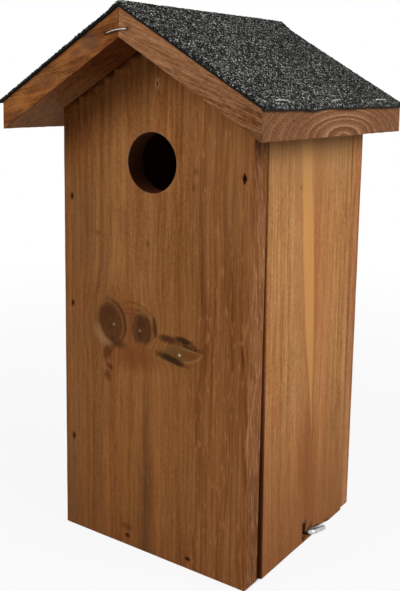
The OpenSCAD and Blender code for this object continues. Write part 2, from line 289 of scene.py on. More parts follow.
@shared_group("Fibres", ("Fine", "Streak", "Broad", "Fleck", "Thread"), Place=ORIGIN, Seed=0.0)
def fibres(b, place, seed):
    """Streaks along the grain at several sizes, from single fibres to bands of stain."""
    shift = b.vector(seed * 1.3, seed, seed * 0.7)
    fine = b.noise(place * (1150, 1150, 26) + shift, 2.0, 0.6)
    streak = b.noise(place * (300, 300, 5) + shift, 2.0, 0.6)
    broad = b.noise(place * (46, 46, 2.4) + shift, 2.0)
    fleck = b.noise(place * (620, 620, 62) + shift, 1.0).rise(0.6, 0.74)
    long_thread = b.noise(place * (560, 560, 46) + shift, 2.0, 0.6)
    short_thread = b.noise(place * (700, 700, 380) + shift, 2.0, 0.6)
    return fine, streak, broad, fleck, (long_thread + short_thread) * 0.5


@shared_group(
    "Soft spot",
    ("Distance",),
    Place=ORIGIN,
    Centre=ORIGIN,
    Size=(0.01, 1, 0.01),
    Turn=0.0,
    Ragged=0.0,
)
def soft_spot(b, place, centre, size, turn, ragged):
    """How far a place is from the middle of an oval that runs through a board, 1 at its rim."""
    turned = b.node("VectorRotate", {"Vector": place - centre, "Angle": turn}, rotation_type="Y_AXIS")
    flat = Term(b, turned.outputs[0]) * (1, 0, 1) / size
    torn = b.noise(place * (420, 420, 160), 2.0) - 0.5
    return (b.maths("LENGTH", flat) + torn * ragged,)


@shared_group(
    "Knot",
    ("Place", "Heart", "Ring", "Inner Rings", "Halo"),
    Place=ORIGIN,
    Centre=ORIGIN,
    Size=(0.01, 1, 0.01),
    Turn=0.0,
    Seed=0.0,
)
def knot(b, place, centre, size, turn, seed):
    """A knot: the grain parted round it, its heart, the dark ring about it and the rings within."""
    turned = b.node("VectorRotate", {"Vector": place - centre, "Angle": turn}, rotation_type="Y_AXIS")
    shift = b.vector(seed, seed, seed)
    rough = b.drift(place * (110, 110, 90) + shift, 2.0) * 0.26
    flat = (Term(b, turned.outputs[0]) / size + rough) * (1, 0, 1)
    reach = b.maths("LENGTH", flat)
    pull = b.maths("EXPONENT", reach * reach * -0.42)
    bent = place - (place - centre) * pull * (0.85, 0, 0)
    heart = 1 - reach.rise(0.72, 1.06)
    broken = b.noise(place * 70 + shift, 1.0).rise(0.4, 0.6)
    ring = reach.rise(0.88, 1.0) * (1 - reach.rise(1.04, 1.3)) * broken
    inner = b.maths("FRACT", reach * 2.6 + b.noise(place * 300 + shift) * 1.8)
    inner_rings = inner.rise(0.3, 0.8) * (1 - inner.rise(0.85, 1.0))
    return bent, heart, ring, inner_rings, 1 - reach.rise(1.0, 2.6)


@shared_group("Saw marks", ("Ridges",), Place=ORIGIN, Pitch=1.6 * MM, Lean=0.3, Seed=0.0)
def saw_marks(b, place, pitch, lean, seed):
    """Shallow ridges that a saw leaves across a cut, a little uneven."""
    shift = b.vector(seed, seed * 2, seed)
    bent = place + b.drift(place * 60 + shift) * 0.004
    across = bent.part(2) + bent.part(0) * lean + bent.part(1) * lean
    wave = b.maths("SINE", across / pitch * math.tau) * 0.5 + 0.5
    torn = b.noise(place * 900 + shift, 2.0, 0.7)
    return (wave * (b.noise(place * 130 + shift, 1.0) * 0.9 + 0.2) * 0.6 + torn * 0.5,)


@shared_group(
    "Worn edges",
    ("Wear",),
    Place=ORIGIN,
    Centre=ORIGIN,
    Half=(0.1, 0.1, 0.1),
    Reach=1.5 * MM,
    Seed=0.0,
)
def worn_edges(b, place, centre, half, reach, seed):
    """How rubbed a board is near its arrises, which come from its middle and half its size."""
    left = half - b.maths("ABSOLUTE", place - centre)
    x, y, z = (left.part(axis) for axis in range(3))
    nearest = b.maths("MINIMUM", b.maths("MAXIMUM", x, y), z)
    near = b.maths("MAXIMUM", nearest, b.maths("MINIMUM", x, y))
    torn = b.noise(place * (330, 330, 120) + b.vector(seed, seed, seed), 3.0, 0.65)
    return (1 - (near / reach + (torn - 0.5) * 1.6).rise(0.2, 1.0),)


@shared_group("Stain clouds", ("Cloud",), Place=ORIGIN, Seed=0.0)
def stain_clouds(b, place, seed):
    """How unevenly the wood took up its stain."""
    shift = b.vector(seed, seed * 0.6, seed * 1.9)
    large = b.noise(place * (17, 17, 9) + shift, 3.0)
    small = b.noise(place * (75, 75, 34) + shift, 2.0)
    return (large * 0.65 + small * 0.35,)


@shared_group("Scuffed metal", ("Dull", "Scuff"), Place=ORIGIN, Seed=0.0)
def scuffed_metal(b, place, seed):
    """Fine scuffs and dull patches on drawn wire."""
    shift = b.vector(seed, seed, seed)
    dull = b.noise(place * 420 + shift, 3.0, 0.6)
    scuff = b.noise(place * (2600, 700, 2600) + shift, 2.0, 0.7).rise(0.52, 0.7)
    return dull, scuff


@shared_group("Granules", ("Level", "Top", "Second Level"), Place=ORIGIN, Size=1.4 * MM, Seed=0.0)
def granules(b, place, size, seed):
    """Crushed slate granules: a chance level for each one, its rounded top and a second level."""
    small = place / size + b.vector(seed, seed, seed)
    gap, colour = b.cells(small + b.drift(small * 0.9, 2.0) * 0.5)
    return colour.part(0), 1 - gap, colour.part(1)


# ---------- materials ----------

# How much faster green and blue fade than red as the stain lies deeper
DEEPER = (1.0, 1.35, 1.8)
# How rough stained wood is, how deep its open grain lies, and how little it shines
WOOD_ROUGH, GRAIN_DEPTH, WOOD_SHINE = 0.66, 0.22 * MM, 0.05


def new_material(name):
    """A material with its bench and its shader."""
    material = bpy.data.materials.new(name)
    material.use_nodes = True
    tree = material.node_tree
    shader = next(n for n in tree.nodes if n.type == "BSDF_PRINCIPLED")
    return material, Bench(tree), shader


def object_place(b):
    """Where a point of the piece is, in metres, as it lies at rest."""
    return Term(b, b.node("TexCoord").outputs["Object"])


def set_surface(b, shader, colour, rough, height, depth, shine):
    """Feeds the shader. depth is what a height of 1 measures, and shine its level of plain reflection."""
    feed(shader.inputs["Base Color"], colour)
    feed(shader.inputs["Roughness"], rough)
    shader.inputs["Specular IOR Level"].default_value = shine
    bump = b.node("Bump", {"Height": height, "Distance": depth, "Strength": 1.0})
    feed(shader.inputs["Normal"], Term(b, bump.outputs["Normal"]))


@dataclass
class Grain:
    """How one board was cut from the log, and how it took its stain. Its axes run across the board,
    through it and along its grain. pith is where the rings' middle lies, flat is how much wider than
    high they are, and crowd is how much closer they lie for each metre from the pith."""

    axes: tuple
    pith: tuple
    width: float
    wander: float
    seed: float
    contrast: float = 1.0
    streaks: float = 1.0
    fine: float = 1.0
    flat: float = 1.0
    crowd: float = 0.0

    def local(self, b, place):
        """A place as it lies in the board's own axes."""
        return b.vector(*[b.maths("DOT_PRODUCT", place, tuple(axis)) for axis in self.axes])


class Look:
    """A board's surface while its material is being built up."""

    def __init__(self, bench, place, local):
        self.bench, self.place, self.local = bench, place, local
        self.colour = self.rough = self.height = self.rings = None
        self.knots = []

    def tint(self, share, colour):
        """Brings the colour to another where share is 1."""
        self.colour = self.bench.mix(share, self.colour, colour)

    def shade(self, share, level):
        """Brings the colour to level times itself where share is 1, and redder, as deeper stain does."""
        deeper = tuple(level**power for power in DEEPER)
        self.colour = self.colour * self.bench.mix(share, (1, 1, 1), deeper)

    def spot(self, x, z, wide, high, turn=0.0, ragged=0.3, soft=0.6, place=None):
        """A soft oval mark at x and z on an upright board, in millimetres and degrees."""
        b = self.bench
        reach = b.use(
            soft_spot(),
            Place=place or self.local,
            Centre=(x * MM, 0, z * MM),
            Size=(wide * MM, 1, high * MM),
            Turn=math.radians(turn),
            Ragged=ragged,
        )["Distance"]
        return 1 - reach.rise(1 - soft, 1 + soft)

    def crescent(self, x, z, wide, high, turn, over, up, ragged=0.12, soft=0.12):
        """What is left of an oval mark when the same oval is taken away a little over and up from it."""
        whole = self.spot(x, z, wide, high, turn, ragged, soft)
        return whole * (1 - self.spot(x + over, z + up, wide, high, turn, ragged, soft))


def stained_wood(name, grain, early, late, before=None, after=None, box=None):
    """Stained softwood. before may bend the grain, after may add marks to the finished surface, and
    box gives the board whose arrises are rubbed."""
    material, b, shader = new_material(name)
    place = object_place(b)
    local = grain.local(b, place)
    look = Look(b, place, local)
    bent = before(look) if before else local
    look.rings = b.use(
        growth_rings(),
        Place=bent / (grain.flat, 1, 1),
        Pith=(grain.pith[0] / grain.flat, *grain.pith[1:]),
        Ring_Width=grain.width,
        Wander=grain.wander,
        Crowd=grain.crowd,
        Seed=grain.seed,
    )
    lines = b.use(fibres(), Place=bent, Seed=grain.seed)
    cloud = b.use(stain_clouds(), Place=local, Seed=grain.seed)["Cloud"]
    dark = look.rings["Late Wood"] * grain.contrast
    look.colour = b.mix(dark, early, late)
    shares = (
        (lines["Streak"], 0.6 * grain.streaks),
        (lines["Broad"], 0.5 * grain.streaks),
        (lines["Thread"], 1.5 * grain.fine),
        (lines["Fine"], 0.3),
        (cloud, 0.5),
        (look.rings["Ring Level"], 0.08),
    )
    level = sum((term - 0.5) * share for term, share in shares)
    look.colour = look.colour * (b.vector(level, level * DEEPER[1], level * DEEPER[2]) + (1, 1, 1))
    warm = b.noise(local * (62, 62, 5) + (grain.seed, 4.1, 0.0), 2.0).rise(0.4, 0.62)
    look.colour = look.colour * b.mix(warm, (1.0, 1.01, 1.0), (1.03, 0.96, 0.9))
    look.tint(lines["Fleck"] * (0.16 * grain.streaks), tuple(c * 1.5 for c in early))
    look.rough = (lines["Fine"] - 0.5) * 0.16 - dark * 0.05 + WOOD_ROUGH
    look.height = lines["Fine"] * 0.5 + dark * 0.45 + lines["Streak"] * 0.5
    if box:
        low, high = box
        edges = {"Centre": (low + high) / 2, "Half": (high - low) / 2, "Reach": 1.6 * MM}
        wear = b.use(worn_edges(), Place=place, Seed=grain.seed, **edges)["Wear"]
        look.tint(wear * 0.3, tuple(c * 1.45 for c in early))
    if after:
        after(look)
    set_surface(b, shader, look.colour, look.rough, look.height, GRAIN_DEPTH, WOOD_SHINE)
    return material


def fastener_marks(look, places, wide=1.7, high=3.2):
    """Bruised, darkened wood round each fastener, with ovals of this half width and height in millimetres."""
    marks = [look.spot(p.x / MM, p.z / MM, wide, high, 0, 0.7, 0.5) for p in places]
    share = marks[0]
    for mark in marks[1:]:
        share = look.bench.maths("MAXIMUM", share, mark)
    look.shade(share * 0.85, 0.22)


# ---------- meshes ----------

# Corners closer than this are one corner
WELD = 1e-6
# A square edge turns more than SQUARE. One shorter than SHORT and nearer than HOLE is a fastener hole's
SQUARE, SHORT, HOLE = math.radians(40), 9 * MM, 4.5 * MM
# Edges of a finished board that turn more than this stay crisp
CRISP = math.radians(38)


def new_object(name, bm, *materials):
    """Makes an object of a mesh that is being edited, and ends the edit."""
    mesh = bpy.data.meshes.new(name)
    bm.to_mesh(mesh)
    bm.free()
    for material in materials:
        mesh.materials.append(material)
    made = bpy.data.objects.new(name, mesh)
    bpy.context.scene.collection.objects.link(made)
    return made


def stand_for(piece, body, slot, *nodes):
    """Puts a piece in the place of CAD nodes, on their body. slot is not used."""
    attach(piece, body)
    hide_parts(*nodes)


def loose_middles(node):
    """The middle of each separate solid of a CAD node."""
    bm = bmesh.new()
    bm.from_mesh(frame["nodes"][node].data)
    bmesh.ops.remove_doubles(bm, verts=bm.verts, dist=WELD)
    left, middles = set(bm.verts), []
    while left:
        group, edge = set(), [left.pop()]
        while edge:
            vert = edge.pop()
            group.add(vert)
            near = {e.other_vert(vert) for e in vert.link_edges} & left
            left -= near
            edge.extend(near)
        corners = [v.co for v in group]
        low = Vector([min(c[i] for c in corners) for i in range(3)])
        high = Vector([max(c[i] for c in corners) for i in range(3)])
        middles.append((low + high) / 2)
    bm.free()
    return sorted(middles, key=lambda m: tuple(m))


def clean_copy(node):
    """A CAD node's mesh with its corners merged and its flat faces whole."""
    bm = bmesh.new()
    bm.from_mesh(frame["nodes"][node].data)
    bmesh.ops.remove_doubles(bm, verts=bm.verts, dist=WELD)
    bmesh.ops.dissolve_limit(bm, angle_limit=math.radians(0.5), verts=bm.verts, edges=bm.edges)
    return bm


def under_roof(point):
    """How far a point is below the underside of the roof boards."""
    return PEAK_Z - abs(point.x) * math.tan(PITCH) - point.z


def soften_arrises(bm, width, keep_off, choose):
    """Rounds the square outer edges that choose accepts, apart from those of fastener holes."""
    arrises = []
    for e in bm.edges:
        if len(e.link_faces) != 2 or e.calc_face_angle_signed(0) < SQUARE:
            continue
        middle = (e.verts[0].co + e.verts[1].co) / 2
        near = e.calc_length() < SHORT and any((middle - p).length < HOLE for p in keep_off)
        if not near and choose(e, middle):
            arrises.append(e)
    bmesh.ops.bevel(
        bm,
        geom=arrises,
        offset=width,
        offset_type="OFFSET",
        segments=2,
        profile=0.5,
        affect="EDGES",
        clamp_overlap=False,
    )


def slice_along(bm, axis, low, high, pitch):
    """Cuts the mesh at even steps across an axis, so that its faces can follow uneven wood."""
    count = max(2, round((high - low) / pitch))
    for i in range(1, count):
        geometry = bm.verts[:] + bm.edges[:] + bm.faces[:]
        at = axis * (low + (high - low) * i / count)
        bmesh.ops.bisect_plane(bm, geom=geometry, dist=1e-7, plane_co=at, plane_no=axis)


def uneven(bm, amount, scale, seed):
    """Moves the surface in and out a little, as planed or sawn wood is never quite flat."""
    bm.normal_update()
    shift = Vector((seed, seed * 2.1, seed * 0.7))
    moves = [v.normal * (noise.noise(v.co * scale + shift) * amount) for v in bm.verts]
    for v, move in zip(bm.verts, moves):
        v.co += move


def finish_board(name, bm, material):
    """Makes a board of a shaped mesh, smooth where it bends softly and crisp elsewhere."""
    bmesh.ops.triangulate(bm, faces=[f for f in bm.faces if len(f.verts) > 4])
    bmesh.ops.remove_doubles(bm, verts=bm.verts, dist=WELD)
    made = new_object(name, bm, material)
    made.data.shade_smooth()
    made.data.set_sharp_from_angle(angle=CRISP)
    weigh = made.modifiers.new("Even shading", "WEIGHTED_NORMAL")
    weigh.keep_sharp = True
    return made


def swept(bm, points, section):
    """Runs a section along points. section gives the outline at each point's number, in its own plane."""
    frames, side = [], None
    for i, point in enumerate(points):
        ahead = (points[min(i + 1, len(points) - 1)] - points[max(i - 1, 0)]).normalized()
        if side is None:
            side = ahead.orthogonal().normalized()
        side = (side - ahead * side.dot(ahead)).normalized()
        frames.append((point, side, ahead.cross(side)))
    rings = []
    for i, (point, side, up) in enumerate(frames):
        rings.append([bm.verts.new(point + side * u + up * v) for u, v in section(i)])
    for one, other in zip(rings, rings[1:]):
        for j in range(len(one)):
            k = (j + 1) % len(one)
            bm.faces.new((one[j], one[k], other[k], other[j]))
    bm.faces.new(rings[0][::-1])
    bm.faces.new(rings[-1])


def round_section(radius, sides):
    """A circle's corners, in the plane of a section."""
    turns = [math.tau * k / sides for k in range(sides)]
    return [(radius * math.cos(t), radius * math.sin(t)) for t in turns]


def rounded_path(corners, radius, steps=6):
    """Straight runs between corners, with each corner turned at a radius in this many steps."""
    points = [corners[0]]
    for before, corner, after in zip(corners, corners[1:], corners[2:]):
        into, out = (before - corner).normalized(), (after - corner).normalized()
        half = into.angle(out) / 2
        cut = radius / math.tan(half)
        start, end = corner + into * cut, corner + out * cut
        centre = corner + (into + out).normalized() * (radius / math.sin(half))
        for i in range(steps + 1):
            arm = (start - centre).normalized().slerp((end - centre).normalized(), i / steps)
            points.append(centre + arm * radius)
    points.append(corners[-1])
    return points


def stepped(path, pitch):
    """A path with points added to its straight runs, about a pitch apart."""
    points = []
    for one, other in zip(path, path[1:]):
        count = max(1, round((other - one).length / pitch))
        points += [one.lerp(other, i / count) for i in range(count)]
    points.append(path[-1])
    return points


# ---------- settings ----------


def colour_setting(name, description, *levels):
    """A colour whose default is given as it shows on a screen, from 0 to 255."""
    return FloatVectorProperty(
        name=name, description=description, subtype="COLOR", size=3, min=0, max=1, default=srgb(*levels)
    )


def length_setting(name, description, size, low, high):
    """A length whose default and limits are given in millimetres."""
    return FloatProperty(
        name=name,
        description=description,
        default=size * MM,
        min=low * MM,
        max=high * MM,
        unit="LENGTH",
        precision=5,
    )


class NestBoxWood(bpy.types.PropertyGroup):
    """Colours and cut of the boards"""

    front_early: colour_setting("Front, early", "Early wood of the front and left side", 142, 92, 50)
    front_late: colour_setting("Front, late", "Late wood of the front and left side", 107, 65, 32)
    door_early: colour_setting("Door, early", "Early wood of the door", 160, 113, 69)
    door_late: colour_setting("Door, late", "Late wood of the door", 132, 87, 50)
    back_early: colour_setting("Back, early", "Early wood of the back board", 150, 103, 64)
    back_late: colour_setting("Back, late", "Late wood of the back board", 118, 74, 44)
    roof_early: colour_setting("Roof, early", "Early wood of the roof boards", 144, 97, 62)
    roof_late: colour_setting("Roof, late", "Late wood of the roof boards", 108, 70, 45)
    inner_early: colour_setting("Inside, early", "Early wood of the floor and the batten", 138, 92, 54)
    inner_late: colour_setting("Inside, late", "Late wood of the floor and the batten", 104, 66, 38)
    arris: length_setting("Arris", "How far the sawn edges are rounded", 0.5, 0.1, 1.0)
    ripple: length_setting("Ripple", "How far a planed face is out of flat", 0.12, 0.0, 0.4)
    rag: length_setting("Rag", "How far a sawn end is out of flat", 0.35, 0.0, 0.8)


class NestBoxFelt(bpy.types.PropertyGroup):
    """Sizes and colours of the roofing felt"""

    pale: colour_setting("Pale granule", "The lightest slate granules", 204, 205, 198)
    middle: colour_setting("Grey granule", "Slate granules of the common grey", 80, 81, 79)
    dark: colour_setting("Dark granule", "Slate granules in the shade of others", 15, 15, 15)
    bitumen: colour_setting("Bitumen", "The cut edge and underside of the felt", 17, 16, 15)
    granule: length_setting("Granule", "Width of one granule", 1.05, 0.6, 3.0)
    relief: length_setting("Relief", "How far granules stand above each other", 0.8, 0.1, 1.2)
    seed: IntProperty(name="Seed", description="Which draw of granules is laid", default=7, min=0)


class NestBoxMetal(bpy.types.PropertyGroup):
    """Sizes and colours of the fasteners and the catch"""

    staple: colour_setting("Staple", "Zinc-coated staple wire", 168, 164, 158)
    brad: colour_setting("Brad", "Oiled brads and pivot nails", 40, 29, 23)
    zinc: colour_setting("Zinc", "Zinc-plated catch", 196, 198, 200)
    wire: length_setting("Staple wire", "Thickness of the staples' wire", 1.1, 0.7, 1.2)


class NestBoxStage(bpy.types.PropertyGroup):
    """Light, floor and camera"""

    key: FloatProperty(
        name="Key", description="Power of the large lamp on the right", default=20, min=0, unit="POWER"
    )
    fill: FloatProperty(name="Fill", description="Strength of the light from all round", default=0.25, min=0)
    floor: colour_setting("Floor", "Colour of the floor", 200, 200, 200)


# ---------- boards ----------

AXES = X, Y, Z = Vector((1, 0, 0)), Vector((0, 1, 0)), Vector((0, 0, 1))
# How far apart an upright board's faces are cut across each axis
BOARD_STEPS = (9 * MM, 9 * MM, 7 * MM)


def knots_of(look, knots):
    """Parts the grain round each knot, and keeps what its colours need."""
    place = look.local
    for x, z, wide, high, turn, seed in knots:
        made = look.bench.use(
            knot(),
            Place=place,
            Centre=(x * MM, 0, z * MM),
            Size=(wide * MM, 1, high * MM),
            Turn=math.radians(turn),
            Seed=seed,
        )
        place = made["Place"]
        look.knots.append(made)
    return place


def colour_knots(look, heart, ring, rings=1.0):
    """Colours the knots. rings says how clearly their rings show, from 0 to 1."""
    for made in look.knots:
        look.shade(made["Halo"] * 0.4, 0.84)
        look.tint(made["Heart"] * 0.85, heart)
        look.shade(made["Heart"] * made["Inner Rings"] * rings, 0.74)
        look.tint(made["Ring"] * (0.75 * rings), ring)
        look.height = look.height + made["Heart"] * 0.8 - made["Ring"] * rings * 0.9


def upright_board(node, name, material, settings, seed, keep_off, choose=None, reshape=None):
    """One of the four upright boards, with its ends eased and its faces a little uneven."""
    bm = clean_copy(node)
    if reshape:
        reshape(bm)
    soften_arrises(bm, settings.arris, keep_off, choose or (lambda e, m: under_roof(m) > 1 * MM))
    for axis, low, high, pitch in zip(AXES, *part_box(node), BOARD_STEPS):
        slice_along(bm, axis, low, high, pitch)
    uneven(bm, settings.ripple, 38, seed)
    return finish_board(name, bm, material)


class NESTBOX_OT_front_board(bpy.types.Operator):
    """Makes the front board with its entrance and its row of knots"""

    bl_idname = "nestbox.front_board"
    bl_label = "Front Board"
    bl_options = {"REGISTER", "UNDO"}

    # Each knot's middle, half width and half height in millimetres, lean in degrees and seed
    KNOTS = ((-39.2, 181.2, 13.2, 17.6, 17, 1.0), (-8.6, 180.8, 10.4, 13.0, -4, 4.0))
    # The hollow knot: its middle, half length, half height and lean
    HOLLOW = (27.9, 168.0, 18.5, 6.8, 6)
    # Small dark flecks, and dark lines at the right: middle, half height and half width
    FLECKS = ((-2.9, 247.3), (-52.4, 250.3), (39.4, 303.9), (37.8, 292.4))
    LINES = (
        (46, 246, 72, 0.9),
        (57, 232, 84, 1.2),
        (66, 262, 54, 0.8),
        (73, 256, 60, 1.3),
        (80, 262, 48, 1.3),
    )
    # The wood round the knots where it is dark, where it is darker still and where it is bare
    DARK, DEEP, BARE = srgb(66, 40, 20), srgb(46, 25, 12), srgb(146, 110, 72)

    def execute(self, context):
        wood = context.scene.nestbox_wood
        brads, foot_brads = loose_middles("front_side_brads"), loose_middles("front_floor_brads")
        peak_brad = loose_middles("front_batten_brad")[0]
        pivot = loose_middles("front_pivot_nail")[0]

        def marks(look):
            self.bands(look)
            self.right_side(look)
            self.right_edge(look)
            self.stained_patches(look)
            colour_knots(look, srgb(84, 50, 24), self.DARK, 0.25)
            self.left_knot(look)
            self.round_knot(look)
            self.hollow_knot(look)
            self.round_entrance(look)
            for x, z in self.FLECKS:
                look.shade(look.spot(x, z, 1.6, 2.6, 0, 1.0) * 0.6, 0.5)
            peak = peak_brad / MM
            look.tint(look.spot(peak.x, peak.z, 2.0, 4.2, 0, 0.8) * 0.6, srgb(176, 134, 92))
            fastener_marks(look, brads + [pivot])
            fastener_marks(look, foot_brads, 2.7, 1.7)
            foot = min(foot_brads, key=lambda p: p.x) / MM
            look.shade(look.spot(foot.x - 0.8, foot.z + 7.5, 5.2, 2.6, 0, 0.9, 0.7) * 0.8, 0.55)

        grain = Grain(
            (X, Y, Z),
            pith=(-26 * MM, -34 * MM, 0),
            width=4.2 * MM,
            wander=2.6 * MM,
            seed=3.1,
            contrast=0.38,
            streaks=1.45,
            fine=1.1,
        )
        material = stained_wood(
            "Front board wood",
            grain,
            wood.front_early,
            wood.front_late,
            before=lambda look: knots_of(look, (*self.KNOTS, (*self.HOLLOW, 8.0))),
            after=marks,
            box=FRONT,
        )
        heads = [Vector((p.x, FRONT[0].y, p.z)) for p in brads + foot_brads + [peak_brad, pivot]]
        board = upright_board("front_board", "planed_front_board", material, wood, 1.3, heads)
        stand_for(board, "box", "body_wood", "front_board")
        return {"FINISHED"}

    def bands(self, look):
        """Tone of the whole face: darker at the left and the foot, with pale and dark streaks."""
        b = look.bench
        x, z = look.local.part(0), look.local.part(2)
        look.shade(1 - x.rise(-95 * MM, -8 * MM), 0.82)
        look.shade(1 - z.rise(-20 * MM, 120 * MM), 0.9)
        look.tint((1 - z.rise(20 * MM, 330 * MM)) * 0.2, srgb(128, 78, 40))
        centre = x.rise(-45 * MM, 20 * MM) * z.rise(20 * MM, 120 * MM) * (1 - z.rise(190 * MM, 260 * MM))
        look.tint(centre * 0.24, srgb(162, 106, 58))
        look.tint(look.spot(-23, 62, 9, 72, 0, 0.8, 0.8) * 0.3, srgb(142, 94, 46))
        look.tint(look.spot(-3.2, 24, 6.2, 96, 0.4, 0.6, 0.7) * 0.5, srgb(74, 50, 28))
        look.shade(look.spot(-5.6, 112, 0.7, 44, 0, 0.5, 0.5) * 0.5, 0.66)
        left = 1 - x.rise(-84 * MM, -26 * MM)
        dull = b.noise(look.local * (130, 1, 6) + (3, 0, 6), 2.0).rise(0.42, 0.6)
        look.tint(left * dull * (1 - z.rise(270 * MM, 320 * MM)) * 0.4, srgb(116, 88, 58))

    def right_side(self, look):
        """Wavy bands, dark lines and pale flecks right of the middle, and painted shade of the roof over the top
        of the left half.
        """
        b = look.bench
        x, z = look.local.part(0), look.local.part(2)
        right = x.rise(24 * MM, 44 * MM)
        bend = b.noise(look.local * (20, 1, 9), 1.0) * 3.2
        wave = b.noise(b.vector(x * 150 + bend, 0.4, z * 2.2), 1.0)
        look.tint(right * 0.32, srgb(160, 104, 60))
        look.shade(right * wave.rise(0.48, 0.66) * 0.75, 0.7)
        lines = b.noise(look.local * (460, 1, 11) + (5, 0, 8), 2.0, 0.6)
        look.shade(right * lines.rise(0.42, 0.6) * 0.7, 0.7)
        sway = (b.noise(look.local * (24, 1, 13) + (1, 0, 5), 1.0) - 0.5) * (7 * MM)
        swayed = b.vector(x + sway, 0, z)
        for at, middle, high, wide in self.LINES:
            look.shade(look.spot(at, middle, wide, high, 0, 0.7, 0.6, swayed) * 0.6, 0.6)
        bars = b.noise(swayed * (250, 1, 4) + (2, 0, 9), 2.0).rise(0.5, 0.62)
        look.shade(x.rise(30 * MM, 52 * MM) * z.rise(60 * MM, 230 * MM) * bars * 0.5, 0.68)
        flecks = b.noise(look.local * (330, 1, 74) + (7, 0, 2), 2.0, 0.6).rise(0.55, 0.72)
        look.tint(right * flecks * 0.55, srgb(174, 122, 74))
        # Painted shade: the face is darkened under the roof's overhang, fully on its left half and fading out to
        # the right
        under = (z + b.maths("ABSOLUTE", x) * math.tan(PITCH)).rise(PEAK_Z - 60 * MM, PEAK_Z - 4 * MM)
        look.shade(under * (1 - x.rise(0.0, 60 * MM)), 0.72)

    def right_edge(self, look):
        """The rubbed right arris, with the grain that runs out over it, and the fuzzy edge round it."""
        b = look.bench
        x, y, z = look.local.part(0), look.place.part(1), look.local.part(2)
        face = 1 - y.rise(FRONT[0].y + 0.4 * MM, FRONT[0].y + 1.2 * MM)
        rim = b.noise(b.vector(x * 420 + z * 55, 2.2, z * 16), 2.0)
        look.shade(face * x.rise(80 * MM, 87 * MM) * rim.rise(0.42, 0.62) * 0.7, 0.55)
        look.tint(face * x.rise(30 * MM, 60 * MM) * z.rise(200 * MM, 270 * MM) * 0.2, srgb(176, 124, 76))
        look.tint(face * look.spot(87.2, 116, 0.9, 13, -4, 0.4, 0.5) * 0.5, srgb(184, 130, 84))
        look.tint(face * look.spot(85.0, 197, 1.2, 13, -16, 0.8, 0.7) * 0.5, srgb(164, 112, 70))
        look.shade(face * look.spot(82.2, 175, 1.1, 9, 7, 0.8, 0.5) * 0.9, 0.5)
        look.tint(face * look.spot(80.4, 186, 3.2, 1.2, 24, 0.8, 0.7) * 0.35, srgb(164, 112, 70))
        edge = (1 - face) * x.rise(FRONT[1].x - 0.9 * MM, FRONT[1].x - 0.3 * MM)
        fuzz = b.noise(b.vector(y * 480 + z * 36, 1.3, z * 26 - y * 40), 3.0, 0.7)
        # The side face is painted darker and greyer: partly its own greyer sawn colour, partly painted shade
        # against the strong lamp on this side
        look.tint(edge * 0.8, srgb(124, 82, 50))
        look.shade(edge * fuzz.rise(0.42, 0.58) * 0.85, 0.62)
        pale_fuzz = b.noise(b.vector(y * 620 + z * 60, 4.1, z * 70), 2.0, 0.7).rise(0.52, 0.66)
        look.tint(edge * pale_fuzz * 0.5, srgb(176, 128, 92))
        look.shade(edge * z.rise(250 * MM, 300 * MM) * 0.8, 0.76)
        look.shade(edge * (1 - z.rise(40 * MM, 260 * MM)) * 0.6, 0.78)
        sideways = b.vector(y, 0, z)
        look.tint(edge * look.spot(-66.5, 142, 0.8, 19, -17, 0.4, 0.5, sideways) * 0.5, srgb(164, 116, 80))
        arris = face * x.rise(FRONT[1].x - 0.9 * MM, FRONT[1].x - 0.2 * MM)
        look.shade(arris * z.rise(180 * MM, 230 * MM) * 0.8, 0.5)

    def stained_patches(self, look):
        """Red stain below and between the knots, and the grain that arches over them."""
        look.tint(look.spot(-15.5, 156.5, 18, 9.5, 0, 0.9, 0.7) * 0.62, srgb(116, 62, 28))
        look.tint(look.spot(-22, 184, 9, 17, 12, 0.6, 0.8) * 0.5, srgb(124, 70, 34))
        for z, high, turn in ((200.4, 3.2, -4), (195.2, 2.6, -4), (191.2, 2.4, -8)):
            arch = look.crescent(-15.0, z - high, 11, high, turn, 0.0, -1.1, 0.15, 0.16)
            look.tint(arch * 0.5, srgb(92, 46, 22))

    def left_knot(self, look):
        """The large knot's dark rim, the torn wood at its foot and the drips below it."""
        heart = look.knots[0]["Heart"]
        look.shade(heart * look.spot(-45, 188, 7, 9, 17, 0.6, 0.8) * 0.5, 0.75)
        inside = look.crescent(-39.0, 181.2, 12.8, 17.0, 17, 1.4, -2.4, 0.1, 0.1)
        look.tint(inside * heart * 0.6, self.DARK)
        look.tint(look.crescent(-37.4, 182.2, 13.4, 17.8, 17, -2.8, -0.9, 0.1, 0.12) * 0.92, self.DARK)
        look.tint(look.crescent(-38.6, 181.9, 12.4, 16.8, 17, -1.2, -0.5, 0.08, 0.1) * 0.5, srgb(134, 92, 56))
        look.tint(look.spot(-35.3, 165.2, 4.4, 4.0, 20, 0.6) * 0.75, self.DARK)
        torn = look.crescent(-43.6, 176.2, 13.6, 15.6, 34, 5.2, 5.6, 0.3, 0.16)
        look.tint(torn * (1 - heart) * look.spot(-47.5, 167, 9, 12, 20, 0.5, 0.5) * 0.75, self.BARE)
        look.tint(look.spot(-28.5, 165.0, 4.5, 3.6, 0, 0.8, 0.7) * 0.7, srgb(74, 40, 18))
        look.shade(look.spot(-43.0, 156, 4.2, 6.6, -12, 1.2) * 0.8, 0.45)
        look.shade(look.spot(-40.6, 145.2, 3.8, 2.0, -30, 1.0) * 0.9, 0.4)
        look.shade(look.spot(-42.6, 137.4, 3.0, 4.4, 16, 1.4) * 0.8, 0.45)

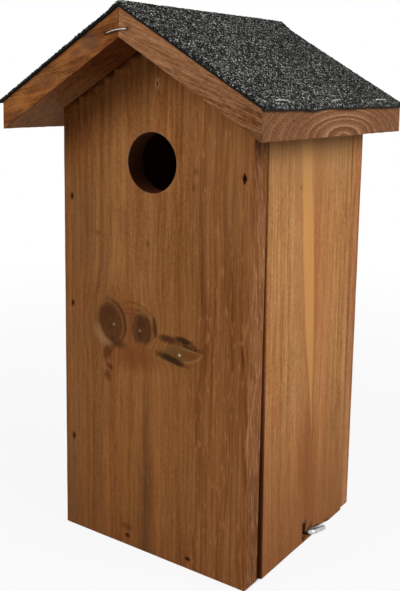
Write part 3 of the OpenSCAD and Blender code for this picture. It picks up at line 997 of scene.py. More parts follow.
    def round_knot(self, look):
        """The middle knot's heart, and the rings and the dark patch about it."""
        heart = look.knots[1]["Heart"]
        look.tint(look.spot(-11.6, 181.2, 6.6, 11.8, -2, 0.5, 0.25) * 0.8, srgb(82, 50, 27))
        look.tint(look.spot(3.9, 184.0, 1.9, 7.4, 8, 0.5, 0.4) * 0.92, self.DEEP)
        look.tint(look.crescent(-7.6, 180.9, 11.2, 12.9, -4, -0.9, 0.2, 0.1, 0.1) * 0.5, srgb(124, 80, 46))
        look.tint(look.crescent(-7.0, 182.0, 11.6, 13.0, -4, 0.0, -1.3, 0.1, 0.12) * 0.6, srgb(134, 92, 56))
        look.tint(look.crescent(-7.0, 183.6, 12.2, 13.2, -4, 0.0, -1.2, 0.1, 0.12) * 0.6, self.DARK)
        look.shade(heart * look.spot(-12.5, 182, 3.4, 9.0, 0, 0.6) * 0.5, 0.7)
        look.shade(heart * look.spot(-3.5, 186, 3.4, 6.0, 0, 0.6) * 0.4, 0.7)
        b = look.bench
        hearts = b.maths("MAXIMUM", look.knots[0]["Heart"], heart)
        grainy = b.noise(look.local * (190, 1, 130), 2.0, 0.6).rise(0.42, 0.6)
        look.shade(hearts * grainy * 0.6, 0.72)

    def hollow_knot(self, look):
        """The knot that lies along the board, the dark wood torn round it, and a painted highlight on the resin in
        each knot.
        """
        x, z, half, high, lean = self.HOLLOW
        look.tint(look.spot(x, z, half * 0.96, high * 0.92, lean, 0.35, 0.25) * 0.75, srgb(120, 82, 42))
        look.tint(look.spot(x + 9, z + 0.4, 7.5, 3.6, lean, 0.4, 0.5) * 0.65, srgb(120, 66, 34))
        look.tint(look.spot(x - 3.5, z - 0.4, 7.0, 2.6, lean, 0.5, 0.6) * 0.4, srgb(96, 66, 34))
        rim = look.crescent(x + 1.2, z + 0.2, half, high, lean, -1.1, 1.2, 0.12, 0.12)
        look.tint(rim * 0.6, srgb(164, 118, 70))
        look.tint(look.spot(16.6, 177.2, 9.0, 2.9, -2, 0.8, 0.5) * 0.9, srgb(72, 37, 17))
        torn = look.bench.noise(look.local * (700, 1, 500), 2.0, 0.7).rise(0.36, 0.62)
        look.tint(look.spot(31.0, 178.7, 7.4, 2.2, -6, 0.6, 0.45) * 0.9, self.DEEP)
        look.tint(look.spot(37.5, 174.4, 9.5, 2.6, -9, 0.8, 0.5) * (torn * 0.6 + 0.35), self.DEEP)
        look.tint(look.spot(37.0, 172.0, 9.0, 0.8, -7, 0.5, 0.5) * 0.5, srgb(158, 112, 68))
        look.tint(look.spot(19.6, 162.2, 13.6, 2.9, -12, 0.7, 0.5) * 0.92, self.DEEP)
        look.tint(look.spot(21.5, 158.8, 12.0, 0.8, -12, 0.5, 0.5) * 0.35, srgb(150, 104, 60))
        # Painted highlight: a pale glint on the resin at the middle of each knot
        for x, z, share in ((-36.1, 179.8, 0.34), (-10.2, 179.2, 0.24), (27.3, 167.1, 0.8)):
            look.tint(look.spot(x, z, 1.1, 1.1, 0, 0.3, 0.5) * share, srgb(206, 180, 140))

    def round_entrance(self, look):
        """The dark, rough wall of the entrance, partly painted shade and partly end grain that takes more stain,
        and its rubbed rim.
        """
        b = look.bench
        off = look.place - (0, 0, ENTRANCE_Z)
        reach = b.maths("LENGTH", off * (1, 0, 1))
        deep = look.place.part(1).rise(FRONT[0].y + 0.3 * MM, FRONT[0].y + 1.3 * MM)
        wall = deep * (1 - reach.rise(ENTRANCE_R + 0.5 * MM, ENTRANCE_R + 1.5 * MM))
        # Painted shade inside the entrance, over end grain that takes the stain darker
        look.tint(wall * 0.93, srgb(62, 30, 20))
        within = 1 - reach.rise(ENTRANCE_R + 0.3 * MM, ENTRANCE_R + 1.3 * MM)
        rim = reach.rise(ENTRANCE_R - 0.3 * MM, ENTRANCE_R + 0.1 * MM) * within
        uneven = b.noise(off * 120 + (4, 1, 2), 1.0).rise(0.4, 0.6)
        look.tint(rim * (1 - deep) * uneven * 0.6, srgb(168, 122, 96))


class NESTBOX_OT_back_board(bpy.types.Operator):
    """Makes the back board with its two fixing holes"""

    bl_idname = "nestbox.back_board"
    bl_label = "Back Board"
    bl_options = {"REGISTER", "UNDO"}

    KNOTS = ((31, 122, 11, 16, 14, 2.0), (-46, 268, 6, 8, -10, 5.0))

    def execute(self, context):
        wood = context.scene.nestbox_wood
        brads = loose_middles("back_side_brads") + loose_middles("back_floor_brads")
        brads += loose_middles("back_batten_brad") + loose_middles("back_pivot_nail")
        back_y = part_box("back_board")[1].y

        def marks(look):
            colour_knots(look, srgb(92, 55, 30), srgb(62, 34, 18), 0.8)
            fastener_marks(look, brads)

        pith = (18 * MM, 118 * MM, 0)
        grain = Grain((X, Y, Z), pith, width=4.0 * MM, wander=8 * MM, seed=11.4, contrast=0.6)
        material = stained_wood(
            "Back board wood",
            grain,
            wood.back_early,
            wood.back_late,
            before=lambda look: knots_of(look, self.KNOTS),
            after=marks,
            box=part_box("back_board"),
        )
        heads = [Vector((p.x, back_y, p.z)) for p in brads]
        board = upright_board("back_board", "planed_back_board", material, wood, 4.7, heads)
        stand_for(board, "box", "body_wood", "back_board")
        return {"FINISHED"}


class NESTBOX_OT_fixed_side(bpy.types.Operator):
    """Makes the left side, which is nailed between the front and the back"""

    bl_idname = "nestbox.fixed_side"
    bl_label = "Fixed Side"
    bl_options = {"REGISTER", "UNDO"}

    def execute(self, context):
        wood = context.scene.nestbox_wood
        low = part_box("fixed_side")[0]
        heads = [Vector((low.x, p.y, p.z)) for p in loose_middles("side_floor_brads")]

        def marks(look):
            colour_knots(look, srgb(86, 54, 30), srgb(58, 33, 18), 0.8)
            spots = [Vector((h.y, 0, h.z)) for h in heads]
            fastener_marks(look, spots)

        pith = (-12 * MM, -40 * MM, 0)
        grain = Grain((Y, X, Z), pith, width=3.8 * MM, wander=8 * MM, seed=17.9, contrast=0.6)
        material = stained_wood(
            "Fixed side wood",
            grain,
            wood.front_early,
            wood.front_late,
            before=lambda look: knots_of(look, ((22, 214, 8, 12, 10, 3.0),)),
            after=marks,
            box=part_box("fixed_side"),
        )
        board = upright_board("fixed_side", "planed_fixed_side", material, wood, 7.9, heads)
        stand_for(board, "box", "body_wood", "fixed_side")
        return {"FINISHED"}


class NESTBOX_OT_side_door(bpy.types.Operator):
    """Makes the hinged right side with its pale flame of early wood and the notch for the catch"""

    bl_idname = "nestbox.side_door"
    bl_label = "Side Door"
    bl_options = {"REGISTER", "UNDO"}

    # The pale flame: how high its point is, how far above that it is full, and half its width there
    FLAME_FOOT, FLAME_RUN, FLAME_HALF = 88 * MM, 130 * MM, 8.0 * MM
    # Dark lines along the grain: the place, half the width and the share of each
    LINES = ((-40, 0.9, 0.35), (-25, 0.8, 0.3), (34, 0.8, 0.3), (57, 1.0, 0.4), (73, 1.6, 0.35))
    # The notch: everything of it that lies at the foot is below, behind and before these
    NOTCH_TOP, NOTCH_FRONT, NOTCH_BACK = 19 * MM, 5 * MM, 62 * MM
    # How wide the slot for the hook's shank is, how far behind the shank the toe of wood starts, and
    # how much room there is round the wire
    SLOT, TOE, ROOM = 5.8 * MM, 8.8 * MM, 0.6 * MM

    def execute(self, context):
        wood = context.scene.nestbox_wood
        pith = (8 * MM, -30 * MM, 0)
        grain = Grain((Y, X, Z), pith, width=3.4 * MM, wander=2.4 * MM, seed=23.7, contrast=0.5, fine=1.05)
        material = stained_wood(
            "Door wood", grain, wood.door_early, wood.door_late, after=self.marks, box=DOOR
        )
        board = upright_board(
            "side_door", "hung_side_door", material, wood, 12.1, [], self.outside_notch, self.narrow_notch
        )
        stand_for(board, "door", "door_wood", "side_door")
        return {"FINISHED"}

    def marks(self, look):
        """The pale flame with red wood about it, the dark lines, the dark foot, and painted shade under the eave,
        below the slot and on the front edge in the gap.
        """
        b = look.bench
        y, z = look.local.part(0), look.local.part(2)
        wobble = (b.noise(look.local * (120, 1, 14), 1.0) - 0.5) * (2.4 * MM)
        off = b.maths("ABSOLUTE", y - (20.3 * MM - (z - 100 * MM) * 0.082) + wobble)
        up = z - self.FLAME_FOOT
        reach = off / (up.rise(0.0, self.FLAME_RUN) * self.FLAME_HALF + 0.7 * MM)
        look.tint((1 - reach.rise(1.2, 2.6)) * 0.35, srgb(150, 92, 52))
        look.tint((1 - reach.rise(0.7, 1.15)) * up.rise(0.0, 10 * MM) * 0.72, srgb(188, 136, 78))
        look.tint(look.spot(33, 240, 9.5, 125, 4.0, 0.4, 0.7) * 0.36, srgb(146, 88, 50))
        look.tint(look.spot(17, 58, 13, 40, 3, 0.8, 0.8) * 0.55, srgb(128, 68, 34))
        for at, wide, share in self.LINES:
            line = b.maths("ABSOLUTE", y - at * MM + wobble * 0.7)
            look.shade((1 - line.rise(wide * 0.4 * MM, wide * MM)) * share, 0.7)
        look.shade(look.spot(-5.4, 290.4, 1.6, 2.2, 0, 0.7) * 0.7, 0.55)
        look.tint(look.spot(81, 70.7, 1.2, 3.2, 20, 0.5) * 0.6, srgb(205, 170, 130))
        look.tint((1 - z.rise(-30 * MM, 210 * MM)) * 0.62, srgb(126, 76, 40))
        look.shade(1 - z.rise(-30 * MM, 160 * MM), 0.78)
        # Painted shade under the eave at the top of the door
        look.tint(z.rise(255 * MM, 330 * MM) * 0.4, srgb(132, 102, 66))
        # Painted shade below the slot for the hook's shank
        look.shade(look.spot(12.5, 3, 2.6, 4.5, 0, 0.3, 0.5) * 0.8, 0.35)
        # Painted shade on the front edge, deep in the gap behind the front board, darker low down
        gap = 1 - look.place.part(1).rise(DOOR[0].y + 0.4 * MM, DOOR[0].y + 1.8 * MM)
        look.tint(gap * (0.85 - z.rise(60 * MM, 230 * MM) * 0.55), srgb(58, 22, 9))

    def outside_notch(self, edge, middle):
        """Whether an edge is one of the door's long ones, and not one of the notch's."""
        behind = middle.y > self.NOTCH_BACK
        return middle.z > self.NOTCH_TOP + 1 * MM or edge.calc_length() > 60 * MM or behind

    def narrow_notch(self, bm):
        """Closes the wide notch round the lowered hook to a slot and a channel, with a toe of wood below."""
        low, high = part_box("catch_hook")
        turn = Vector(CATCH["pos_m"])
        radius = turn.y - low.y
        fall = (turn.z - low.z - radius) / (high.y - radius - turn.y)
        gap = radius + self.ROOM
        rows, middle = {}, (DOOR[0].x + DOOR[1].x) / 2
        for v in bm.verts:
            if v.co.z < self.NOTCH_TOP and self.NOTCH_FRONT < v.co.y < self.NOTCH_BACK:
                rows.setdefault(v.co.x > middle, []).append(v)
        sides = []
        for found in rows.values():
            ordered = sorted(found, key=lambda v: v.co.y)
            foot, wall = sorted(ordered[:2], key=lambda v: v.co.z)
            flat, knee = ordered[2:4]
            up = (wall.co - foot.co).normalized()
            corner = foot.co.copy()

            def at(y, z):
                """A place on this face of the door, which leans."""
                return corner + Vector((0, y - corner.y, 0)) + up * ((z - corner.z) / up.z)

            slot, toe = wall.co.y + self.SLOT, turn.y + self.TOE
            plan = [
                (toe, turn.z - gap - (toe - turn.y) * fall),
                (turn.y - 0.5 * MM, turn.z - gap),
                (wall.co.y, turn.z - gap),
                None,
                (slot, turn.z + gap),
                (turn.y, turn.z + gap),
            ]
            made = [bm.verts.new(at(*p)) if p else None for p in plan]
            face = next(f for f in foot.link_faces if knee in f.verts)
            foot.co, flat.co = at(toe, corner.z), at(slot, wall.co.z)
            path = [foot, *made[:3], wall, flat, *made[4:], knee]
            sides.append((face, path))
        around = {face for _, path in sides for v in path[4:6] for face in v.link_faces}
        for face in around - {face for face, _ in sides}:
            bm.faces.remove(face)
        for face, path in sides:
            loop = list(face.verts)
            if loop[(loop.index(path[0]) + 1) % len(loop)] is not path[4]:
                loop.reverse()
            start = loop.index(path[0])
            loop = loop[start:] + loop[:start]
            bm.faces.remove(face)
            bm.faces.new(path + loop[loop.index(path[-1]) + 1 :])
        one, other = sides[0][1], sides[1][1]
        for i in range(len(one) - 1):
            bm.faces.new((one[i], one[i + 1], other[i + 1], other[i]))
        for edge in [e for e in bm.edges if not e.link_faces]:
            bm.edges.remove(edge)
        bmesh.ops.recalc_face_normals(bm, faces=bm.faces)


class NESTBOX_OT_floor(bpy.types.Operator):
    """Makes the floor with its drain holes, and the batten under the ridge"""

    bl_idname = "nestbox.floor"
    bl_label = "Floor and Batten"
    bl_options = {"REGISTER", "UNDO"}

    # How far apart their faces are cut
    STEP = 8 * MM

    def execute(self, context):
        wood = context.scene.nestbox_wood
        pith = (10 * MM, -35 * MM, 0)
        grain = Grain((Y, Z, X), pith, width=3.6 * MM, wander=7 * MM, seed=31.3, contrast=0.6)
        material = stained_wood("Floor wood", grain, wood.inner_early, wood.inner_late, after=self.marks)
        low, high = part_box("floor_board")
        bm = clean_copy("floor_board")
        heads = loose_middles("front_floor_brads") + loose_middles("back_floor_brads")
        soften_arrises(bm, wood.arris, heads, lambda e, m: m.z < 1 * MM or m.z > high.z - 1 * MM)
        slice_along(bm, X, low.x, high.x, self.STEP)
        slice_along(bm, Y, low.y, high.y, self.STEP)
        uneven(bm, wood.ripple, 60, 15.2)
        stand_for(finish_board("sawn_floor_board", bm, material), "box", "inner_wood", "floor_board")

        pith = (3 * MM, 330 * MM, 0)
        grain = Grain((X, Z, Y), pith, width=3.2 * MM, wander=5 * MM, seed=37.7, contrast=0.6)
        material = stained_wood("Batten wood", grain, wood.inner_early, wood.inner_late, after=self.marks)
        low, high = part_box("ridge_batten")
        bm = clean_copy("ridge_batten")
        soften_arrises(bm, wood.arris, [], lambda e, m: m.z < low.z + 1 * MM)
        slice_along(bm, Y, low.y, high.y, self.STEP)
        slice_along(bm, Z, low.z, high.z, self.STEP)
        uneven(bm, wood.ripple, 60, 19.4)
        stand_for(finish_board("sawn_ridge_batten", bm, material), "box", "inner_wood", "ridge_batten")
        return {"FINISHED"}

    def marks(self, look):
        """Saw marks on every face."""
        sawn = look.bench.use(saw_marks(), Place=look.place, Pitch=2.2 * MM, Lean=0.25, Seed=2.0)["Ridges"]
        look.shade(sawn * 0.3, 0.75)
        look.height = look.height + sawn * 0.6


class NESTBOX_OT_roof_boards(bpy.types.Operator):
    """Makes the two roof boards with their rough-sawn ends and eaves"""

    bl_idname = "nestbox.roof_boards"
    bl_label = "Roof Boards"
    bl_options = {"REGISTER", "UNDO"}

    NODES = {1: "right_roof_board", -1: "left_roof_board"}
    # How each board was cut, and by how many degrees its grain rises off its slope
    CUTS = {
        1: dict(pith=(5 * MM, 348.4 * MM, 0), width=6.0 * MM, wander=1.5 * MM, flat=3.9, crowd=22.0),
        -1: dict(pith=(-88 * MM, 366 * MM, 0), width=5.0 * MM, wander=6 * MM),
    }
    TILT = {1: 9, -1: 16}
    # How much of the roof's red, green and blue each board has
    STAIN = {1: (1.0, 1.0, 1.0), -1: (0.97, 0.86, 0.64)}
    # How far apart the boards' faces are cut
    STEP = 3 * MM
    # A corner further out than these is on a sawn eave or a sawn end
    SAWN_X, SAWN_Y = 113 * MM, 109 * MM
    # Where the legs of a staple enter the ends of the boards, and how far below the ridge
    LEGS_X, LEGS_DOWN = (-12 * MM, 8 * MM), 17 * MM

    def execute(self, context):
        wood = context.scene.nestbox_wood
        for side in (1, -1):
            node = self.NODES[side]
            fall = PITCH - math.radians(self.TILT[side])
            through = Vector((side * math.sin(fall), 0, math.cos(fall)))
            along = Vector((side * math.cos(fall), 0, -math.sin(fall)))
            axes = (Y, through, along)
            grain = Grain(axes, seed=41.0 + side, contrast=0.7, streaks=1.3, fine=1.5, **self.CUTS[side])
            early, late = (
                tuple(c * k for c, k in zip(colour, self.STAIN[side]))
                for colour in (wood.roof_early, wood.roof_late)
            )
            material = stained_wood(
                node.replace("_", " ").capitalize() + " wood",
                grain,
                early,
                late,
                after=lambda look, s=side: self.sawn_faces(look, s),
            )
            stand_for(self.board(node, side, wood, material), "box", "roof_wood", node)
        return {"FINISHED"}

    def sawn_faces(self, look, side):
        """Sorts a roof board's faces, and marks each of them, with painted shade on the underside."""
        b = look.bench
        x, y = b.maths("ABSOLUTE", look.place.part(0)), b.maths("ABSOLUTE", look.place.part(1))
        eave = x.rise(EAVE_FACE, EAVE_FACE + 0.5 * MM)
        end = y.rise(END_FACE, END_FACE + 0.5 * MM) * (1 - eave)
        off = b.maths("DOT_PRODUCT", look.place, tuple(OFF_SLOPE[side]))
        below = 1 - off.rise(SLOPE_TOP - BOARD + 0.2 * MM, SLOPE_TOP - BOARD + 0.9 * MM)
        soffit = below * (1 - end) * (1 - eave)
        # Painted shade on the underside, darkest towards the ridge where little light reaches, and greyer towards
        # the eave
        look.shade(soffit * (1 - x.rise(22 * MM, 84 * MM)), 0.36)
        look.tint(soffit * x.rise(30 * MM, 90 * MM) * 0.3, srgb(112, 86, 60))
        across = b.use(saw_marks(), Place=look.local, Pitch=1.9 * MM, Lean=0.55, Seed=5.0 + side)["Ridges"]
        slant = b.use(saw_marks(), Place=look.place, Pitch=2.6 * MM, Lean=0.9, Seed=9.0 + side)["Ridges"]
        look.shade(end * across * 0.5, 0.66)
        look.height = look.height + end * across * 1.6 + eave * slant * 1.1
        self.eave_rings(look, eave, slant)
        self.end_grain(look, end)
        if side > 0:
            self.pale_end(look, end, x)
        else:
            self.blotched_end(look, end, x)

    def eave_rings(self, look, eave, slant):
        """The rings that show on the eave, clear in the middle and lost among saw marks to the sides."""
        b = look.bench
        grit = b.noise(look.place * (1, 760, 620) + (4, 0, 0), 2.0, 0.7)
        look.tint(eave * 0.6, srgb(138, 104, 78))
        look.shade(eave, 0.9)
        sideways = b.maths("ABSOLUTE", look.local.part(0) - 5 * MM)
        clear = eave * (1 - sideways.rise(28 * MM, 75 * MM) * 0.6)
        look.shade(clear * look.rings["Late Wood"], 0.62)
        look.tint(clear * look.rings["First Wood"] * 0.6, srgb(172, 130, 98))
        hatch = b.maths("SINE", (sideways + look.place.part(2) * 0.85) * (math.tau / (3.4 * MM)) + slant * 3)
        look.shade(eave * sideways.rise(24 * MM, 56 * MM) * (hatch * 0.5 + 0.5) * 0.85, 0.54)
        look.shade(eave * slant * 0.3, 0.72)
        look.shade(eave * grit.rise(0.4, 0.64) * 0.8, 0.6)

    def end_grain(self, look, end):
        """Torn fibres on the front and back ends, and at a staple's feet darkened wood with painted shadow round
        them and painted shade in their holes.
        """
        b = look.bench
        for foot in ridge_crown("front_ridge_staple"):
            # Painted shadow of the staple, partly darkened wood, round each foot, and painted shade in the hole it
            # goes into
            reach = b.maths("LENGTH", (look.place - (foot.x, 0, foot.z)) * (1, 0, 1.3))
            look.shade(end * (1 - reach.rise(1.5 * MM, 7 * MM)) * 0.55, 0.5)
            look.shade(end * (1 - reach.rise(1.0 * MM, 2.0 * MM)), 0.12)
        torn = b.noise(look.local * (1, 640, 34) + (2, 0, 0), 2.0, 0.7)
        look.shade(end * torn.rise(0.42, 0.58) * 0.7, 0.64)

    def pale_end(self, look, end, x):
        """The right board's paler ends, with light fibres."""
        b = look.bench
        lift = end * (0.26 - x.rise(50 * MM, 105 * MM) * 0.2)
        look.colour = look.colour * (b.vector(lift, lift * 1.4, lift * 1.9) + (1, 1, 1))
        fibre = b.noise(look.local * (1, 820, 60) + (9, 0, 3), 2.0, 0.7)
        look.tint(end * fibre.rise(0.5, 0.64) * 0.4, srgb(186, 136, 98))

    def blotched_end(self, look, end, x):
        """The left board's darker ends, with orange and grey patches and a blue-grey one by the staple."""
        b = look.bench
        look.shade(end * (1 - x.rise(14 * MM, 60 * MM)), 0.86)
        flame = b.noise(look.local * (1, 90, 30) + (3, 0, 4.4), 3.0).rise(0.5, 0.66)
        look.tint(end * flame * 0.6, srgb(166, 106, 54))
        patch = b.noise(look.local * (1, 45, 24) + (8, 0, 1.3), 2.0).rise(0.56, 0.66)
        look.tint(end * patch * 0.5, srgb(84, 58, 46))
        reach = b.maths("LENGTH", (look.place - (-26 * MM, 0, 393 * MM)) * (1, 0, 1.5))
        look.tint(end * (1 - reach.rise(4 * MM, 13 * MM)) * 0.55, srgb(84, 62, 56))

    def board(self, node, side, wood, material):
        """A roof board with its eave and ends a little out of flat."""
        bm = clean_copy(node)
        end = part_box("front_ridge_staple")[0].y
        keep_off = [Vector((x, y, RIDGE_Z - self.LEGS_DOWN)) for x in self.LEGS_X for y in (end, -end)]
        soften_arrises(bm, wood.arris, keep_off, lambda e, m: e.calc_length() > SHORT)
        low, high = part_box(node)
        slice_along(bm, Y, low.y, high.y, self.STEP)
        slice_along(bm, X, low.x, high.x, self.STEP)
        uneven(bm, wood.ripple, 55, 21.0 + side)
        bm.normal_update()
        shift = Vector((side * 5.0, 3.0, 8.0))
        for v in bm.verts:
            if abs(v.co.x) > self.SAWN_X or abs(v.co.y) > self.SAWN_Y:
                v.co += v.normal * (noise.noise(v.co * 260 + shift) * wood.rag)
        return finish_board(node.replace("_board", "_wood"), bm, material)


# ---------- felt and fasteners ----------


class NESTBOX_OT_felt(bpy.types.Operator):
    """Makes the sheet of roofing felt, granule by granule, bent over the ridge"""

    bl_idname = "nestbox.felt"
    bl_label = "Roofing Felt"
    bl_options = {"REGISTER", "UNDO"}

    # The felt's thickness, the width of the strip along each eave that bends, and the grid's step
    THICK, LIP, STEP = 3.0 * MM, 2.5 * MM, 1.05 * MM
    # What share of the granules' relief lies below the felt's own face
    SUNK = 0.72
    # How far the sheet swells, and how far its eaves and its ends wander
    SWELL, LIP_OUT, LIP_DOWN, END_OUT = 0.3 * MM, 0.9 * MM, 1.1 * MM, 0.7 * MM
    # The sag of the right eave: its place, its half width and its depth
    SAG_Y, SAG_HALF, SAG = -48 * MM, 13 * MM, 1.1 * MM
    # How far from the ridge the sheet stands up, how high it does so in front, and how much more behind
    CREST_HALF, CREST, CREST_MORE = 15 * MM, 1.1 * MM, 0.9 * MM
    # How many rows at each end are pressed down, by how much each, and how much the eaves' rows are
    PRESSED, END_PRESS, EAVE_PRESS = 3, 0.24 * MM, 0.3 * MM
    # Up to what share of the cut edge its bitumen reaches, at the ends and at the eaves
    END_BROW, EAVE_BROW = 0.62, 0.46

    def execute(self, context):
        felt = context.scene.nestbox_felt
        piece = new_object("granulated_felt", self.sheet(felt), self.stone(felt), self.edge(felt))
        stand_for(piece, "box", "mineral_felt", "roofing_felt")
        return {"FINISHED"}

    def sheet(self, felt):
        """The sheet's upper face as a fine grid, its four cut edges and its smooth underside."""
        run = (FELT[1].x - self.THICK * math.sin(PITCH)) / math.cos(PITCH)
        steps = round(run / self.STEP)
        # Each row is a side and a distance down its slope, or the lean of a row on the ridge and None
        profile = [(-1, run * i / steps) for i in range(steps, -1, -1)]
        profile += [(PITCH * t, None) for t in (-0.5, 0.0, 0.5)]
        profile += [(1, run * i / steps) for i in range(steps + 1)]
        rows = round((FELT[1].y - FELT[0].y) / self.STEP)
        draw = np.random.default_rng(felt.seed)
        heights = draw.random((len(profile), rows + 1)) - self.SUNK
        bm = bmesh.new()
        top, under = [], []
        for i, (side, along) in enumerate(profile):
            base, lip_share = Vector((0, 0, RIDGE_Z)), 0.0
            if along is None:
                out = Vector((math.sin(side), 0, math.cos(side)))
            else:
                out = OFF_SLOPE[side]
                base += DOWN_SLOPE[side] * along
                lip_share = max(0.0, along - (run - self.LIP)) / self.LIP
            crest = max(0.0, 1 - abs(base.x) / self.CREST_HALF) ** 2
            line, lower = [], []
            for j in range(rows + 1):
                y = FELT[0].y + (FELT[1].y - FELT[0].y) * j / rows
                swell = noise.noise(Vector((base.x * 22, y * 22, side))) * self.SWELL
                at = base + Vector((0, y, 0))
                if lip_share > 0:
                    lip = noise.noise(Vector((side * 4.0, y * 30, 2.0)))
                    at += DOWN_SLOPE[side] * (lip * self.LIP_OUT) * lip_share
                    at -= out * max(0.0, lip) * self.LIP_DOWN * lip_share
                if lip_share > 0 and side > 0:
                    at.z -= math.exp(-(((y - self.SAG_Y) / self.SAG_HALF) ** 2)) * self.SAG * lip_share
                if j in (0, rows):
                    at.y += noise.noise(Vector((base.x * 40, side * 2.0, j))) * self.END_OUT
                press = max(0, self.PRESSED - min(j, rows - j)) * self.END_PRESS
                if i in (0, len(profile) - 1):
                    press += self.EAVE_PRESS
                lift = self.THICK + swell + heights[i, j] * felt.relief - press
                lift += crest * (self.CREST + self.CREST_MORE * j / rows)
                line.append(bm.verts.new(at + out * lift))
                lower.append(at)
            top.append(line)
            under.append(lower)
        for i in range(len(top) - 1):
            for j in range(rows):
                bm.faces.new((top[i][j], top[i + 1][j], top[i + 1][j + 1], top[i][j + 1]))
        self.edges_and_underside(bm, top, under, steps, rows)
        bmesh.ops.recalc_face_normals(bm, faces=bm.faces)
        return bm

    def edges_and_underside(self, bm, top, under, steps, rows):
        """Joins the upper face to the underside, which is one flat face to each slope."""
        ridge = len(top) // 2
        last = len(top) - 1
        flat, brows = {}, {}

        def brow(i, j):
            """Where the granules end, part of the way down the cut edge."""
            if (i, j) not in brows:
                low, high = under[i][j], top[i][j].co
                ragged = noise.noise(low * 420)
                out = Vector((0, (j == rows) - (j == 0), 0))
                out += DOWN_SLOPE[-1 if i < ridge else 1] * (i in (0, last))
                share = (self.END_BROW if j in (0, rows) else self.EAVE_BROW) + 0.24 * ragged
                brows[i, j] = bm.verts.new(low.lerp(high, share) + out * (0.12 + 0.2 * ragged) * MM)
            return brows[i, j]

        def foot(i, j):
            """A corner of the underside. All the rows on the ridge share one."""
            across = min(i, steps) if i <= ridge else max(i, last - steps)
            if steps <= i <= last - steps:
                across = ridge
            if (across, j) not in flat:
                flat[across, j] = bm.verts.new(under[steps if across == ridge else across][j])
            return flat[across, j]

        def wall(a, b):
            """A strip of the cut edge between two places of the grid, granules above and bitumen below."""
            bm.faces.new((top[a[0]][a[1]], top[b[0]][b[1]], brow(*b), brow(*a)))
            corners = [brow(*a), brow(*b), foot(*b), foot(*a)]
            bm.faces.new(list(dict.fromkeys(corners))).material_index = 1

        for j in range(rows):
            wall((0, j), (0, j + 1))
            wall((last, j), (last, j + 1))
        for i in range(last):
            wall((i, 0), (i + 1, 0))
            wall((i, rows), (i + 1, rows))
        left = [foot(i, 0) for i in range(steps + 1)] + [foot(i, rows) for i in range(steps, -1, -1)]
        left += [foot(0, j) for j in range(rows - 1, 0, -1)]
        right = [foot(i, 0) for i in range(last, last - steps - 1, -1)]
        right += [foot(i, rows) for i in range(last - steps, last + 1)]
        right += [foot(last, j) for j in range(rows - 1, 0, -1)]
        for loop in (left, right):
            bm.faces.new(list(dict.fromkeys(loop))).material_index = 1

    def stone(self, felt):
        """The granules: large and small ones of chance greys, with dark gaps between them, partly painted shade
        and partly the bitumen that shows there.
        """
        material, b, shader = new_material("Slate granules")
        place = object_place(b)
        large = b.use(granules(), Place=place, Size=felt.granule, Seed=1.0)
        small = b.use(granules(), Place=place, Size=felt.granule * 0.55, Seed=6.0)
        level = large["Level"] * 0.76 + small["Level"] * 0.24
        patchy = (b.noise(place * 55, 2.0) - 0.5) * 0.12
        colour = b.ramp(
            level + patchy,
            (0.32, felt.dark),
            (0.48, tuple(c * 0.36 for c in felt.middle)),
            (0.63, felt.middle),
            (0.75, tuple(c * 2.2 for c in felt.middle)),
            (0.85, felt.pale),
        )
        # Painted light: the felt is painted lighter at the front and darker towards the back, as the light falls
        # on it
        colour = colour * (1.08 - place.part(1).rise(-60 * MM, 110 * MM) * 0.26)
        colour = b.mix(large["Second Level"].rise(0.7, 1.0) * 0.25, colour, srgb(72, 62, 52))
        # The gaps between granules are darkened: partly painted shade, partly the bitumen that shows there
        sunk = (large["Top"].rise(0.3, 0.75) * 0.75 + 0.25) * (small["Top"].rise(0.2, 0.7) * 0.4 + 0.6)
        height = large["Top"] * 0.7 + small["Top"] * 0.4
        set_surface(b, shader, colour * sunk, large["Level"] * -0.3 + 0.95, height, 0.5 * MM, 0.06)
        return material

    def edge(self, felt):
        """The cut edge and the underside."""
        material, b, shader = new_material("Bitumen edge")
        place = object_place(b)
        fibre = b.noise(place * 800, 3.0, 0.7)
        colour = b.mix(fibre.rise(0.5, 0.75) * 0.5, felt.bitumen, tuple(c * 3 for c in felt.bitumen))
        set_surface(b, shader, colour, fibre * 0.3 + 0.6, fibre, 0.2 * MM, 0.08)
        return material


def wire_metal(name, colour, seed, rough, dulled):
    """Drawn steel wire with dull patches and fine scuffs. dulled is how light the patches are."""
    material, b, shader = new_material(name)
    scuffs = b.use(scuffed_metal(), Place=object_place(b), Seed=seed)
    shade = b.mix(scuffs["Dull"].rise(0.4, 0.65), colour, tuple(c * dulled for c in colour))
    shade = b.mix(scuffs["Scuff"] * 0.4, shade, tuple(min(1, c * 1.4) for c in colour))
    feed(shader.inputs["Metallic"], 1 - scuffs["Dull"].rise(0.5, 0.8) * 0.25)
    roughness = scuffs["Dull"] * 0.2 - scuffs["Scuff"] * 0.1 + rough
    set_surface(b, shader, shade, roughness, scuffs["Dull"], 0.05 * MM, 0.5)
    return material


# The radius of a staple's corners, half the crown of one across the ridge, and the lean of that crown
STAPLE_BEND, RIDGE_HALF, RIDGE_LEAN = 1.1 * MM, 9.4 * MM, math.radians(-8)
# A staple's wire is rolled flat: its half width and half height, for each unit of its thickness
STAPLE_FLAT = (0.52, 0.42)


